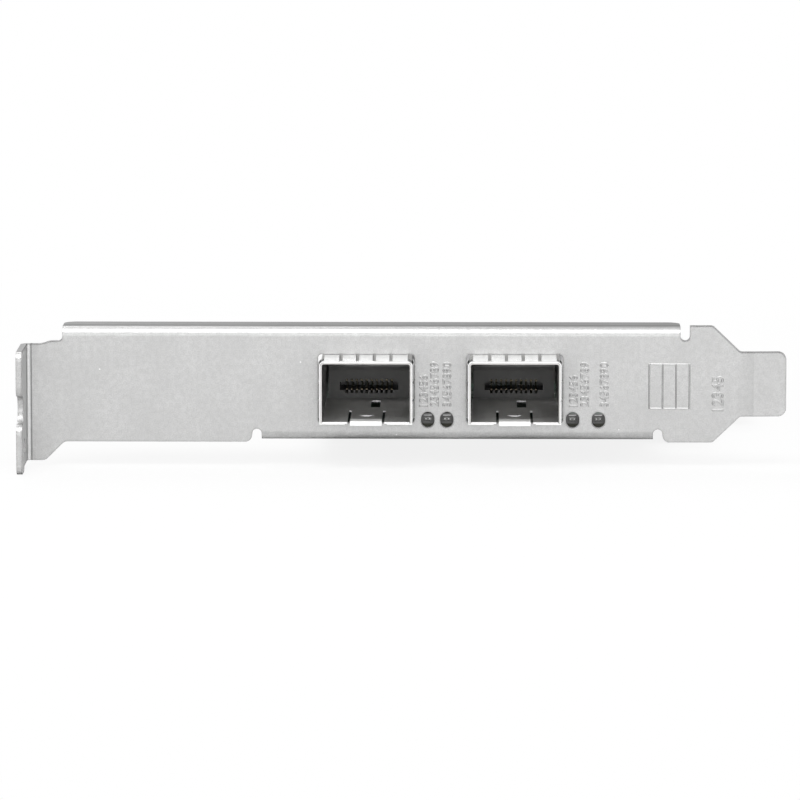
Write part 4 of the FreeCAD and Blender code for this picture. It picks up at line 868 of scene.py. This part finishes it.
class Piece:
    """Collects one piece's faces in millimetres and makes the object that rides with the card."""

    ROUND_ANGLE = math.radians(35.0)
    SHOULDER = 0.8
    RING_BEVEL = 0.02

    def __init__(self, title: str, slot: str, finish: bpy.types.Material) -> None:
        """Start an empty piece.

        Args:
            title: The object's name.
            slot: The material slot that it goes with; not used.
            finish: The finish.
        """
        self.title = title
        self.slot = slot
        self.finish = finish
        self.mesh = bmesh.new()

    def block(self, one: Sequence[float], other: Sequence[float], bevel: float, steps: int = 1) -> None:
        """Add a block with bevelled edges.

        Args:
            one: Any corner.
            other: The corner across the block from it.
            bevel: The width of the bevel.
            steps: Faces across the bevel.
        """
        low, high = (Vector(map(pick, one, other)) for pick in (min, max))
        corners = [
            self.mesh.verts.new((x, y, z))
            for z in (low.z, high.z)
            for y in (low.y, high.y)
            for x in (low.x, high.x)
        ]
        faces = [(0, 2, 3, 1), (4, 5, 7, 6), (0, 1, 5, 4), (2, 6, 7, 3), (0, 4, 6, 2), (1, 3, 7, 5)]
        made = [self.mesh.faces.new([corners[place] for place in face]) for face in faces]
        edges = list({edge for face in made for edge in face.edges})
        bmesh.ops.bevel(self.mesh, geom=edges, offset=bevel, segments=steps, profile=0.5, affect="EDGES")

    def ribbon(self, route: Sequence[Pair], width: float, level: float, height: float) -> None:
        """Add a flat strip along a route on the board.

        Args:
            route: The places it passes.
            width: Its width.
            level: The Z of its underside.
            height: How far it stands up.
        """
        places = [Vector(place) for place in route]
        rows = []
        for index, place in enumerate(places):
            before = places[max(index - 1, 0)]
            after = places[min(index + 1, len(places) - 1)]
            first = (place - before).normalized() if place != before else (after - place).normalized()
            second = (after - place).normalized() if place != after else first
            along = (first + second).normalized()
            reach = 0.5 * width / max(0.5, along.dot(first))
            across = Vector((-along.y, along.x)) * reach
            row = []
            for side, rise in ((1.0, 0.0), (self.SHOULDER, height), (-self.SHOULDER, height), (-1.0, 0.0)):
                corner = (place.x + side * across.x, place.y + side * across.y, level + rise)
                row.append(self.mesh.verts.new(corner))
            rows.append(row)
        for one, two in zip(rows, rows[1:]):
            for side in range(3):
                self.mesh.faces.new((one[side], one[side + 1], two[side + 1], two[side]))
        self.mesh.faces.new(rows[0][::-1])
        self.mesh.faces.new(rows[-1])

    def wall(self, profile: Sequence[Pair], centre: Triple, steps: int, flip: bool = False) -> list[list]:
        """Add the faces round an upright axis, without ends.

        Args:
            profile: Pairs of radius and height above the centre.
            centre: The foot of the axis.
            steps: Faces round it.
            flip: Whether the profile runs from the top down.

        Returns:
            The rings of corners, one for each pair.
        """
        turns = [2.0 * math.pi * step / steps for step in range(steps)]
        rings = []
        for radius, height in profile:
            places = (Vector((radius * math.cos(turn), radius * math.sin(turn), height)) for turn in turns)
            rings.append([self.mesh.verts.new(Vector(centre) + place) for place in places])
        for one, two in zip(rings, rings[1:]):
            for step in range(steps):
                ahead = (step + 1) % steps
                face = (one[step], one[ahead], two[ahead], two[step])
                self.mesh.faces.new(face[::-1] if flip else face)
        return rings

    def turned(self, profile: Sequence[Pair], centre: Triple, steps: int) -> None:
        """Add a solid turned form about an upright axis.

        Args:
            profile: Pairs of radius and height above the centre.
            centre: The foot of its axis.
            steps: Faces round it.
        """
        rings = self.wall(profile, centre, steps)
        self.mesh.faces.new(rings[0][::-1])
        self.mesh.faces.new(rings[-1])

    def ring(self, centre: Triple, inner: float, outer: float, height: float, steps: int) -> None:
        """Add a flat ring round an upright hole.

        Args:
            centre: Its centre on the board.
            inner: Its inner radius.
            outer: Its outer radius.
            height: How far it stands up, or down if negative.
            steps: Faces round it.
        """
        profile = ((outer, 0.0), (outer - self.RING_BEVEL, height), (inner, height), (inner, 0.0))
        self.wall(profile, centre, steps, flip=height < 0.0)

    def add(self, mesh: bpy.types.Mesh, place: Matrix) -> None:
        """Add a ready mesh in millimetres and clear it away.

        Args:
            mesh: The mesh.
            place: Where it goes.
        """
        mesh.transform(place)
        self.mesh.from_mesh(mesh)
        bpy.data.meshes.remove(mesh)

    def make(self, smooth: bool = True) -> None:
        """Turn the faces into an object that rides with the card.

        Args:
            smooth: Whether gentle edges are shaded as rounds.
        """
        bmesh.ops.scale(self.mesh, vec=(MM, MM, MM), verts=self.mesh.verts)
        bmesh.ops.recalc_face_normals(self.mesh, faces=self.mesh.faces)
        made = bpy.data.meshes.new(self.title)
        self.mesh.to_mesh(made)
        self.mesh.free()
        made.materials.append(self.finish)
        if smooth:
            made.polygons.foreach_set("use_smooth", [True] * len(made.polygons))
            made.set_sharp_from_angle(angle=self.ROUND_ANGLE)
        item = bpy.data.objects.new(self.title, made)
        bpy.context.scene.collection.objects.link(item)
        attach(item, "root")
        log.info("%s: %d faces", self.title, len(made.polygons))


def numeral_mesh(row: str, height: float, thickness: float, bevel: float) -> bpy.types.Mesh:
    """A row of plain numerals, lying in XY with its middle at the origin, in millimetres.

    Args:
        row: The numerals.
        height: Their height.
        thickness: Half of their thickness.
        bevel: The bevel of their edges.

    Returns:
        Their mesh.
    """
    curve = bpy.data.curves.new("numeral", "FONT")
    curve.body = row
    curve.size = height / NUMERAL_SHARE
    curve.align_x = "CENTER"
    curve.align_y = "CENTER"
    curve.extrude = thickness
    curve.bevel_depth = bevel
    curve.bevel_resolution = 1
    curve.resolution_u = 3
    holder = bpy.data.objects.new("numeral", curve)
    bpy.context.scene.collection.objects.link(holder)
    graph = bpy.context.evaluated_depsgraph_get()
    mesh = bpy.data.meshes.new_from_object(holder.evaluated_get(graph))
    bpy.data.objects.remove(holder)
    bpy.data.curves.remove(curve)
    return mesh


# Sub-assemblies


@dataclass
class Assembly:
    """What every sub-assembly has."""

    finishes: Finishes

    def dress(self, finish: str, *nodes: str) -> None:
        """Give some of the frame's solids their finish.

        Args:
            finish: The finish's name.
            nodes: The solids' nodes.
        """
        for node in nodes:
            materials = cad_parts[node].data.materials
            materials.clear()
            materials.append(self.finishes[finish])

    def piece(self, title: str, slot: str, finish: str) -> Piece:
        """Start a piece with one of the finishes."""
        return Piece(title, slot, self.finishes[finish])


@dataclass
class Bracket(Assembly):
    """The folded bracket with its screws and its stamped numerals and ruled field."""

    numeral_height: float = 1.25
    numeral_relief: float = 0.06
    numeral_bevel: float = 0.07
    numeral_foot: float = -2.75
    numeral_rows: tuple[tuple[int, float, str], ...] = (
        (1, -0.6, "123456"),
        (1, 1.1, "23456789"),
        (2, 0.1, "34567890"),
        (3, 0.2, "123456"),
        (3, 1.95, "23456789"),
        (4, 0.95, "34567890"),
    )
    series: str = "12345"
    series_height: float = 1.7
    series_place: float = 43.55
    series_foot: float = -3.4
    field_low: Pair = (32.6, -3.1)
    field_high: Pair = (38.9, 3.9)
    field_line: float = 0.24
    field_relief: float = 0.07
    field_root: float = 0.08
    field_bevel: float = 0.06

    def build(self) -> None:
        """Dress the bracket and its screws and stamp its front."""
        self.dress("bracket_steel", "bracket")
        self.dress("screw_nickel", *numbered("bracket_screw", 2))
        self.stamp_numerals()
        self.stamp_field()

    def stamp_numerals(self) -> None:
        """Stamp rows of plain numerals that climb the plate over the lights and beside the taper."""
        piece = self.piece("stamped_numerals", "bracket_steel", "stamped_steel")
        for number, shift, row in self.numeral_rows:
            middle = span(f"port_led_{number}").centre.x + shift
            self.stamp_row(piece, row, self.numeral_height, middle, self.numeral_foot)
        self.stamp_row(piece, self.series, self.series_height, self.series_place, self.series_foot)
        piece.make()

    def stamp_row(self, piece: Piece, row: str, height: float, middle: float, foot: float) -> None:
        """Stamp one row that reads upward.

        Args:
            piece: The piece that holds the numerals.
            row: The numerals.
            height: Their height.
            middle: The row's middle along X.
            foot: The row's lower end.
        """
        upright, upward = (Matrix.Rotation(math.radians(90.0), 4, axis) for axis in "XZ")
        mesh = numeral_mesh(row, height, self.numeral_relief / 2.0, self.numeral_bevel)
        low = min(vertex.co.x for vertex in mesh.vertices)
        piece.add(mesh, Matrix.Translation((middle, 0.0, foot - low)) @ upright @ upward)

    def stamp_field(self) -> None:
        """Stamp a plain ruled field: a frame with two cross lines."""
        piece = self.piece("stamped_field", "bracket_steel", "stamped_steel")
        left, low = self.field_low
        right, high = self.field_high
        line, face, root = self.field_line, -self.field_relief, self.field_root
        third = (right - left) / 3.0
        for place in (left, left + third, left + 2.0 * third, right):
            piece.block((place, face, low), (place + line, root, high + line), self.field_bevel)
        for level in (low, high):
            piece.block((left + line, face, level), (right, root, level + line), self.field_bevel)
        piece.make()


@dataclass
class Port(Assembly):
    """One port: its cage, floor, contact collar and connector, soldered to the board."""

    number: int
    leg_start: float = 8.0
    leg_pitch: float = 10.0
    leg_count: int = 4
    leg_inset: float = 0.245
    leg_hole: float = 0.5
    pad_radius: float = 0.95
    joint: tuple[Pair, ...] = ((0.85, 0.0), (0.62, -0.16), (0.42, -0.36), (0.30, -0.5))
    foot_pad: Triple = (0.42, 1.5, 0.04)
    pad_overhang: float = 0.3
    fillet: float = 0.16
    fillet_inset: float = 0.05
    fillet_lap: float = 0.06

    def node(self, name: str) -> str:
        """The node of one of this port's parts."""
        return f"{name}_{self.number}"

    def build(self) -> None:
        """Dress the port and solder its legs and contacts."""
        self.dress("cage_nickel", self.node("port_cage"))
        self.dress("floor_nickel", self.node("cage_floor"))
        self.dress("collar_tin", self.node("emi_collar"))
        self.dress("connector_plastic", self.node("port_connector"))
        self.dress("contact_gold", self.node("connector_contacts"))
        self.solder_legs()
        self.solder_contacts()

    def solder_legs(self) -> None:
        """A plated ring over and a solder cone under the board at every leg."""
        board = span("circuit_board")
        joints = self.piece(self.node("leg_joints"), "plated_gold", "solder")
        for edge, way in span(self.node("port_cage")).ends(Axis.X):
            x = edge - way * self.leg_inset
            for step in range(self.leg_count):
                y = self.leg_start + self.leg_pitch * step
                joints.ring((x, y, board.high.z), self.leg_hole, self.pad_radius, PLATING, steps=20)
                joints.turned(self.joint, (x, y, board.low.z), steps=16)
        joints.make()

    def solder_contacts(self) -> None:
        """A pad and a solder fillet under the foot of every contact."""
        level = span("circuit_board").high.z
        joints = self.piece(self.node("contact_joints"), "plated_gold", "solder")
        width, length, height = self.foot_pad
        for contact in solids(self.node("connector_contacts")):
            left, right = contact.centre.x - width / 2, contact.centre.x + width / 2
            heel = contact.high.y
            front, rear = heel - length + self.pad_overhang, heel + self.pad_overhang
            joints.block((left, front, level), (right, rear, level + height), bevel=0.015)
            low = (left + self.fillet_inset, heel - self.fillet_lap, level)
            high = (right - self.fillet_inset, heel + self.fillet, level + self.fillet)
            joints.block(low, high, bevel=0.07, steps=2)
        joints.make()


@dataclass
class Indicators(Assembly):
    """The four lights at the board's front edge."""

    terminal: Triple = (0.32, 0.2, 0.5)
    terminal_skin: Pair = (0.01, 0.02)
    lens_half: Pair = (0.6, 0.32)
    lens_relief: float = 0.1
    lens_depth: float = 0.3
    die: float = 0.2
    die_place: float = 0.3
    die_relief: Pair = (0.04, 0.02)
    strap_half: float = 0.62
    strap_depth: Pair = (0.01, 0.1)
    strap_drop: float = 0.02
    strap_height: float = 0.14

    def build(self) -> None:
        """Dress the lights and give them lenses and terminals."""
        lens = self.piece("indicator_lenses", "indicator_plastic", "indicator_lens")
        metal = self.piece("indicator_terminals", "plated_gold", "tinned_end")
        for node in numbered("port_led", 4):
            self.dress("indicator_plastic", node)
            self.fit_lens(lens, metal, span(node))
            self.fit_terminals(metal, span(node))
        lens.make()
        metal.make()

    def fit_lens(self, lens: Piece, metal: Piece, box: Span) -> None:
        """Fill the window with a lens, set the two small dies in its face and lay a strap over it.

        Args:
            lens: The piece that holds the lenses.
            metal: The piece that holds the bright metal parts.
            box: The light's body.
        """
        middle = box.centre
        floor = box.low.y + self.lens_depth
        face = floor - self.lens_relief
        wide, tall = self.lens_half
        low = (middle.x - wide, face, middle.z - tall)
        lens.block(low, (middle.x + wide, floor, middle.z + tall), bevel=0.06, steps=2)
        half = self.die / 2
        ahead, behind = self.die_relief
        for x in (middle.x - self.die_place, middle.x + self.die_place):
            low = (x - half, face - ahead, middle.z - half)
            metal.block(low, (x + half, face + behind, middle.z + half), bevel=0.03)
        top = box.high.z - self.strap_drop
        ahead, behind = self.strap_depth
        low = (middle.x - self.strap_half, box.low.y - ahead, top - self.strap_height)
        metal.block(low, (middle.x + self.strap_half, box.low.y + behind, top), bevel=0.04)

    def fit_terminals(self, metal: Piece, box: Span) -> None:
        """Wrap a tinned terminal round each end of the body.

        Args:
            metal: The piece that holds the terminals.
            box: The light's body.
        """
        reach, inset, height = self.terminal
        side, rear = self.terminal_skin
        for edge, way in box.ends(Axis.X):
            outer = (edge + way * side, box.low.y + inset, box.low.z)
            inner = (edge - way * (reach + side), box.high.y + rear, box.low.z + height)
            metal.block(outer, inner, bevel=0.03)


@dataclass
class Board(Assembly):
    """The board with its plated edge, tracks, via holes and printed outlines."""

    track_width: float = 0.2
    track_height: float = 0.035
    track_pitch: float = 0.32
    track_inset: float = 2.0
    track_lap: float = 1.0
    track_contacts: int = 44
    bend_gap: float = 3.0
    contact_lap: float = 0.3
    contact_gap: float = 0.5
    power_gap: float = 0.4
    power_tracks: tuple[Pair, Pair] = ((2.4, 2.6), (4.5, 3.2))
    small_gap: float = 0.1
    small_track: Pair = (0.5, 0.45)
    via_radius: float = 0.3
    via_hole: float = 0.13
    board_row: tuple[float, float, float, int] = (1.6, 46.0, 2.6, 26)
    sink_row: tuple[float, float, float, int] = (13.2, 50.0, 2.1, 22)
    coil_row: tuple[Pair, Pair, int] = ((2.2, 0.9), (1.0, 1.0), 6)
    loose_vias: int = 60
    loose_inset: Pair = (3.0, 10.0)
    loose_rows: tuple[float, ...] = (46.2, 47.4, 81.2, 82.6, 101.4, 112.4)
    loose_spread: float = 0.3
    legend_width: float = 0.15
    legend_height: float = 0.012
    legend_gap: float = 0.5
    legend_arm: float = 0.3
    land: Pair = (1.7, 3.1)
    mark: tuple[Pair, ...] = ((0.5, 0.0), (0.5, 0.025), (0.45, 0.03))
    mark_columns: Pair = (4.0, 37.5)
    mark_rows: Pair = (42.5, 112.0)
    seed: int = 7

    def build(self) -> None:
        """Dress the board and its contacts and lay its tracks, holes and outlines."""
        self.dress("board_laminate", "circuit_board")
        self.dress("plated_gold", "edge_contacts")
        self.lay_tracks()
        self.drill_vias()
        self.print_outlines()
        self.plate_lands()

    def fingers(self) -> list[float]:
        """The places along Y of the upper row of edge contacts."""
        top = span("circuit_board").high.z
        return sorted(one.centre.y for one in solids("edge_contacts") if one.high.z > top)

    def lay_tracks(self) -> None:
        """Tracks from the controller's side to three of every four edge contacts, and the power stage's."""
        piece = self.piece("signal_tracks", "board_laminate", "board_laminate")
        level = span("circuit_board").high.z
        sink = span("heatsink")
        contact = span("edge_contacts").low.x
        edge = sink.high.x - self.track_lap
        ends = [place for index, place in enumerate(self.fingers()[:self.track_contacts]) if index % 4 != 3]
        low, high = sink.low.y + self.track_inset, sink.high.y - self.track_inset
        for index, end in enumerate(ends):
            start = low + (high - low) * index / (len(ends) - 1)
            reach = abs(end - start)
            order = len(ends) - index if end > start else index
            bend = sink.high.x + self.bend_gap + self.track_pitch * order
            bend -= max(0.0, bend + reach - contact + self.contact_gap)
            if bend > edge:
                route = ((edge, start), (bend, start), (bend + reach, end), (contact + self.contact_lap, end))
                piece.ribbon(route, self.track_width, level, self.track_height)
        self.lay_power_tracks(piece, level)
        piece.make(smooth=False)

    def lay_power_tracks(self, piece: Piece, level: float) -> None:
        """Wide tracks between the inductors and the regulators, and thin ones to the small parts.

        Args:
            piece: The piece that holds the tracks.
            level: The board's upper face.
        """
        for node in numbered("power_inductor", 3):
            coil = span(node)
            for (edge, way), (reach, width) in zip(coil.ends(Axis.X), self.power_tracks):
                route = [(edge + way * place, coil.centre.y) for place in (self.power_gap, reach)]
                piece.ribbon(route, width, level, self.track_height)
        run, turn = self.small_track
        for one in solids("ceramic_capacitors") + solids("resistors"):
            x, y = one.centre.x, one.high.y + self.small_gap
            route = ((x, y), (x, y + run), (x + turn, y + run + turn))
            piece.ribbon(route, self.track_width, level, self.track_height)

    def via_places(self) -> list[Pair]:
        """Where the plated holes are: in rows along the edges and in loose groups between the parts.

        Returns:
            Their places along X and Y.
        """
        draw = random.Random(self.seed)
        left = span("circuit_board").low.x
        right = span("heatsink").high.x
        places = []
        for edge, (inset, first, pitch, count) in ((left, self.board_row), (right, self.sink_row)):
            places += [(edge + inset, first + pitch * step) for step in range(count)]
        (gap, shift), (first, pitch), count = self.coil_row
        for node in numbered("power_inductor", 3):
            x, y = span(node).high.x + gap, span(node).low.y + first
            places += [(x + shift * (step % 3), y + pitch * step) for step in range(count)]
        low, high = left + self.loose_inset[0], right + self.loose_inset[1]
        for _ in range(self.loose_vias):
            x = draw.uniform(low, high)
            row = draw.choice(self.loose_rows)
            places.append((x, row + draw.uniform(-self.loose_spread, self.loose_spread)))
        return places

    def drill_vias(self) -> None:
        """Small plated rings on both faces."""
        piece = self.piece("via_rings", "plated_gold", "plated_gold")
        board = span("circuit_board")
        for x, y in self.via_places():
            for level, height in ((board.high.z, PLATING), (board.low.z, -PLATING)):
                piece.ring((x, y, level), self.via_hole, self.via_radius, height, steps=10)
        piece.make()

    def print_outlines(self) -> None:
        """Print two brackets round each part, open in the middle of their long sides."""
        piece = self.piece("printed_outlines", "board_laminate", "legend_ink")
        level = span("circuit_board").high.z
        nodes = ["heatsink", *numbered("power_inductor", 3), *numbered("regulator_chip", 2), "flash_memory",
                 "clock_oscillator"]
        for box in [span(node) for node in nodes] + solids("polymer_capacitors"):
            left, right = (edge + way * self.legend_gap for edge, way in box.ends(Axis.X))
            front, rear = (edge + way * self.legend_gap for edge, way in box.ends(Axis.Y))
            arm = self.legend_arm * (rear - front)
            for y, tip in ((front, front + arm), (rear, rear - arm)):
                route = ((left, tip), (left, y), (right, y), (right, tip))
                piece.ribbon(route, self.legend_width, level, self.legend_height)
        piece.make(smooth=False)

    def plate_lands(self) -> None:
        """Bare plated lands round the bracket screws and on three aiming marks."""
        piece = self.piece("screw_lands", "plated_gold", "plated_gold")
        board = span("circuit_board")
        inner, outer = self.land
        for node in numbered("bracket_screw", 2):
            screw = span(node).centre
            piece.ring((screw.x, screw.y, board.high.z), inner, outer, PLATING, steps=40)
        inset, right = self.mark_columns
        front, rear = self.mark_rows
        for x, y in ((board.low.x + inset, rear), (right, rear), (right, front)):
            piece.turned(self.mark, (x, y, board.high.z), steps=20)
        piece.make()


@dataclass
class Cooling(Assembly):
    """The controller with its pad, heat sink, push pins and springs."""

    def build(self) -> None:
        """Dress the controller and what cools it."""
        self.dress("chip_package", "controller_chip")
        self.dress("pad_rubber", "thermal_pad")
        self.dress("sink_aluminium", "heatsink")
        self.dress("pin_plastic", *numbered("heatsink_pin", 2))
        self.dress("spring_steel", *numbered("pin_spring", 2))


@dataclass
class PowerStage(Assembly):
    """Inductors, capacitors, regulators and the small parts round them."""

    coil_strap: Triple = (0.35, 3.0, 1.1)
    tab_strap: Triple = (0.12, 2.4, 1.0)
    band_reach: Pair = (0.55, 1.45)
    band_inset: float = 0.5
    band_height: float = 0.012
    cap_end: float = 0.32
    cap_skin: float = 0.012
    toe: Pair = (0.28, 0.16)
    dot: tuple[Pair, Pair] = ((0.3, 0.0), (0.28, 0.01))
    dot_inset: float = 0.9
    flash_inset: float = 2.1
    joint_count: int = 7
    joint_start: float = 0.7
    joint_pitch: float = 0.6
    joint_width: float = 0.28
    joint_reach: Pair = (0.25, 0.02)
    joint_height: float = 0.16
    joint_bevel: float = 0.05

    def build(self) -> None:
        """Dress the power stage and fit its terminals."""
        self.dress("inductor_ferrite", *numbered("power_inductor", 3))
        self.dress("capacitor_mould", "polymer_capacitors")
        self.dress("chip_package", "flash_memory", *numbered("regulator_chip", 2))
        self.dress("oscillator_lid", "clock_oscillator")
        self.dress("ceramic_body", "ceramic_capacitors")
        self.dress("resistor_body", "resistors")
        coils = [span(node) for node in numbered("power_inductor", 3)]
        self.fit_straps("coil_terminals", coils, self.coil_strap, bevel=0.08, steps=2)
        self.fit_straps("capacitor_tabs", solids("polymer_capacitors"), self.tab_strap, bevel=0.04, steps=1)
        self.print_bands()
        self.cap_small_parts()
        self.mark_first_pins()
        self.solder_regulators()

    def fit_straps(self, title: str, boxes: Sequence[Span], strap: Triple, bevel: float, steps: int) -> None:
        """Tinned straps at both ends of some parts.

        Args:
            title: The piece's name.
            boxes: The parts.
            strap: How far a strap stands out, its width and its height.
            bevel: The width of its bevel.
            steps: Faces across the bevel.
        """
        piece = self.piece(title, "plated_gold", "tinned_end")
        reach, width, height = strap
        for box in boxes:
            front, rear = box.centre.y - width / 2, box.centre.y + width / 2
            for edge, way in box.ends(Axis.X):
                outer = (edge + way * reach, rear, box.low.z + height)
                piece.block((edge, front, box.low.z), outer, bevel, steps)
        piece.make()

    def print_bands(self) -> None:
        """A printed polarity band on top of every polymer capacitor."""
        piece = self.piece("polarity_bands", "capacitor_mould", "legend_ink")
        start, end = self.band_reach
        for box in solids("polymer_capacitors"):
            low = (box.low.x + start, box.low.y + self.band_inset, box.high.z)
            high = (box.low.x + end, box.high.y - self.band_inset, box.high.z + self.band_height)
            piece.block(low, high, bevel=0.005)
        piece.make()

    def cap_small_parts(self) -> None:
        """Tinned caps on both ends of the ceramic capacitors and resistors, with solder below."""
        piece = self.piece("tinned_caps", "plated_gold", "tinned_end")
        skin = self.cap_skin
        toe_reach, toe_height = self.toe
        for box in solids("ceramic_capacitors") + solids("resistors"):
            for end, way in box.ends(Axis.Y):
                outer = (box.low.x - skin, end + way * skin, box.low.z)
                inner = (box.high.x + skin, end - way * (self.cap_end + skin), box.high.z + skin)
                piece.block(outer, inner, bevel=0.05, steps=2)
                toe = (box.high.x, end + way * toe_reach, box.low.z + toe_height)
                piece.block((box.low.x, end, box.low.z), toe, bevel=0.07, steps=2)
        piece.make()

    def mark_first_pins(self) -> None:
        """A small printed dot at the first pin of each chip."""
        piece = self.piece("first_pin_dots", "chip_package", "legend_ink")
        places = [(node, self.dot_inset) for node in numbered("regulator_chip", 2)]
        for node, inset in (*places, ("flash_memory", self.flash_inset)):
            box = span(node)
            piece.turned(self.dot, (box.low.x + self.dot_inset, box.low.y + inset, box.high.z), steps=20)
        piece.make()

    def solder_regulators(self) -> None:
        """Rows of solder on the four sides of the regulators."""
        piece = self.piece("regulator_joints", "plated_gold", "solder")
        out, lap = self.joint_reach
        half = self.joint_width / 2
        for node in numbered("regulator_chip", 2):
            box = span(node)
            foot, top = box.low.z, box.low.z + self.joint_height
            for step in range(self.joint_count):
                shift = self.joint_start + self.joint_pitch * step
                x, y = box.low.x + shift, box.low.y + shift
                for edge, way in box.ends(Axis.Y):
                    inner = (x + half, edge - way * lap, top)
                    piece.block((x - half, edge + way * out, foot), inner, self.joint_bevel)
                for edge, way in box.ends(Axis.X):
                    inner = (edge - way * lap, y + half, top)
                    piece.block((edge + way * out, y - half, foot), inner, self.joint_bevel)
        piece.make()


# Studio


@dataclass(frozen=True)
class Lamp:
    """One soft lamp: its name, where it hangs, its width and height, and its power in watts."""

    title: str
    place: Triple
    size: Pair
    power: float


@dataclass
class Studio:
    """Plain soft light, a pale floor and the camera."""

    view_place: Triple = (6.0, -957.0, 127.0)
    view_aim: Triple = (-6.35, 0.0, -1.68)
    lens: float = 277.0
    sensor: float = 36.0
    clip: Pair = (0.01, 50.0)
    lamp_aim: Triple = (0.0, 20.0, 0.0)
    lamps: tuple[Lamp, ...] = (
        Lamp("key_light", (-120.0, -330.0, 720.0), (620.0, 380.0), 3.4),
        Lamp("fill_light", (640.0, -420.0, 260.0), (360.0, 420.0), 1.05),
        Lamp("front_light", (0.0, -760.0, 150.0), (260.0, 160.0), 0.35),
        Lamp("rear_light", (-260.0, 640.0, 660.0), (420.0, 420.0), 1.6),
    )
    matt_level: float = 0.55
    back_level: float = 0.6
    floor_gap: float = 0.02
    floor_share: float = 0.86
    floor_reach: float = 2500.0
    shadow_fade: Pair = (52.0, 260.0)

    def build(self) -> None:
        """Make the world, the floor, the lamps and the camera."""
        bpy.context.scene.view_settings.view_transform = "Standard"
        self.light_world()
        self.lay_floor()
        for lamp in self.lamps:
            self.hang_lamp(lamp)
        self.set_camera()

    def light_world(self) -> None:
        """A surround that is white to the eye, gentler on matt surfaces and greyer in mirrors to the rear."""
        world = bpy.data.worlds.new("studio")
        bpy.context.scene.world = world
        world.use_nodes = True
        sky = NodeTree(world.node_tree)
        _, away, _ = sky.split(sky.node("ShaderNodeTexCoord", {}, {}).outputs["Generated"])
        shade = away.between(0.2, 0.95) * (self.back_level - 1.0) + 1.0
        matt = self.matt_level
        strength = sky.sight() * (1.0 - matt) + sky.mirror() * (shade - matt) + matt
        ground = sky.node("ShaderNodeBackground", {}, {"Color": grey(1.0), "Strength": strength})
        sky.node("ShaderNodeOutputWorld", {}, {"Surface": ground.outputs[0]})

    def lay_floor(self) -> None:
        """A pale floor just under the card, which keeps its shadow."""
        level = FRAME_BOX[0][2] / MM - self.floor_gap
        mesh = bmesh.new()
        bmesh.ops.create_grid(mesh, x_segments=8, y_segments=8, size=self.floor_reach * MM)
        bmesh.ops.translate(mesh, vec=(0.0, 0.0, level * MM), verts=mesh.verts)
        made = bpy.data.meshes.new("floor")
        mesh.to_mesh(made)
        mesh.free()
        floor = bpy.data.objects.new("floor", made)
        bpy.context.scene.collection.objects.link(floor)
        made.materials.append(self.floor_material())

    def floor_material(self) -> bpy.types.Material:
        """Pale paper that reads as white, with the card's shadow on it; clear from below.

        Returns:
            The material.
        """
        shader = Shader("floor_paper")
        shader.dress(Base_Color=grey(0.86), Roughness=0.9)
        glow = shader.node("ShaderNodeEmission", {}, {"Color": grey(1.0), "Strength": 1.0})
        away = (shader.x * shader.x + shader.y * shader.y) ** 0.5
        share = away.between(*self.shadow_fade) * (1.0 - self.floor_share) + self.floor_share
        inputs = {0: shader.sight() * share, 1: shader.surface.outputs[0], 2: glow.outputs[0]}
        paper = shader.node("ShaderNodeMixShader", {}, inputs)
        under = shader.node("ShaderNodeNewGeometry", {}, {}).outputs["Backfacing"]
        clear = shader.node("ShaderNodeBsdfTransparent", {}, {})
        sheet = shader.node("ShaderNodeMixShader", {}, {0: under, 1: paper.outputs[0], 2: clear.outputs[0]})
        shader.feed(shader.output.inputs["Surface"], sheet.outputs[0])
        return shader.material

    def hang_lamp(self, lamp: Lamp) -> None:
        """Hang one soft lamp that faces the card.

        Args:
            lamp: The lamp.
        """
        light = bpy.data.lights.new(lamp.title, "AREA")
        light.shape = "RECTANGLE"
        light.size, light.size_y = (side * MM for side in lamp.size)
        light.energy = lamp.power
        self.hold(light, lamp.place, self.lamp_aim)

    def set_camera(self) -> None:
        """Set the camera in front of the bracket, a little above the card."""
        data = bpy.data.cameras.new("camera")
        data.lens = self.lens
        data.sensor_width = self.sensor
        data.clip_start, data.clip_end = self.clip
        bpy.context.scene.camera = self.hold(data, self.view_place, self.view_aim)

    def hold(self, data: bpy.types.ID, place: Triple, aim: Triple) -> bpy.types.Object:
        """Put a lamp or the camera in its place.

        Args:
            data: The lamp or the camera.
            place: Where it is.
            aim: What it faces.

        Returns:
            The object that holds it.
        """
        item = bpy.data.objects.new(data.name, data)
        item.location = Vector(place) * MM
        item.rotation_mode = "QUATERNION"
        item.rotation_quaternion = (Vector(aim) - Vector(place)).to_track_quat("-Z", "Y")
        bpy.context.scene.collection.objects.link(item)
        return item


def main() -> None:
    """Build and dress the card, then the studio."""
    logging.basicConfig(level=logging.INFO, format="%(message)s")
    finishes = Finishes()
    parts = [Bracket(finishes), Port(finishes, 1), Port(finishes, 2), Indicators(finishes), Board(finishes),
             Cooling(finishes), PowerStage(finishes), Studio()]
    for part in parts:
        part.build()
        log.info("%s done", type(part).__name__)


if __name__ == "__main__":
    main()
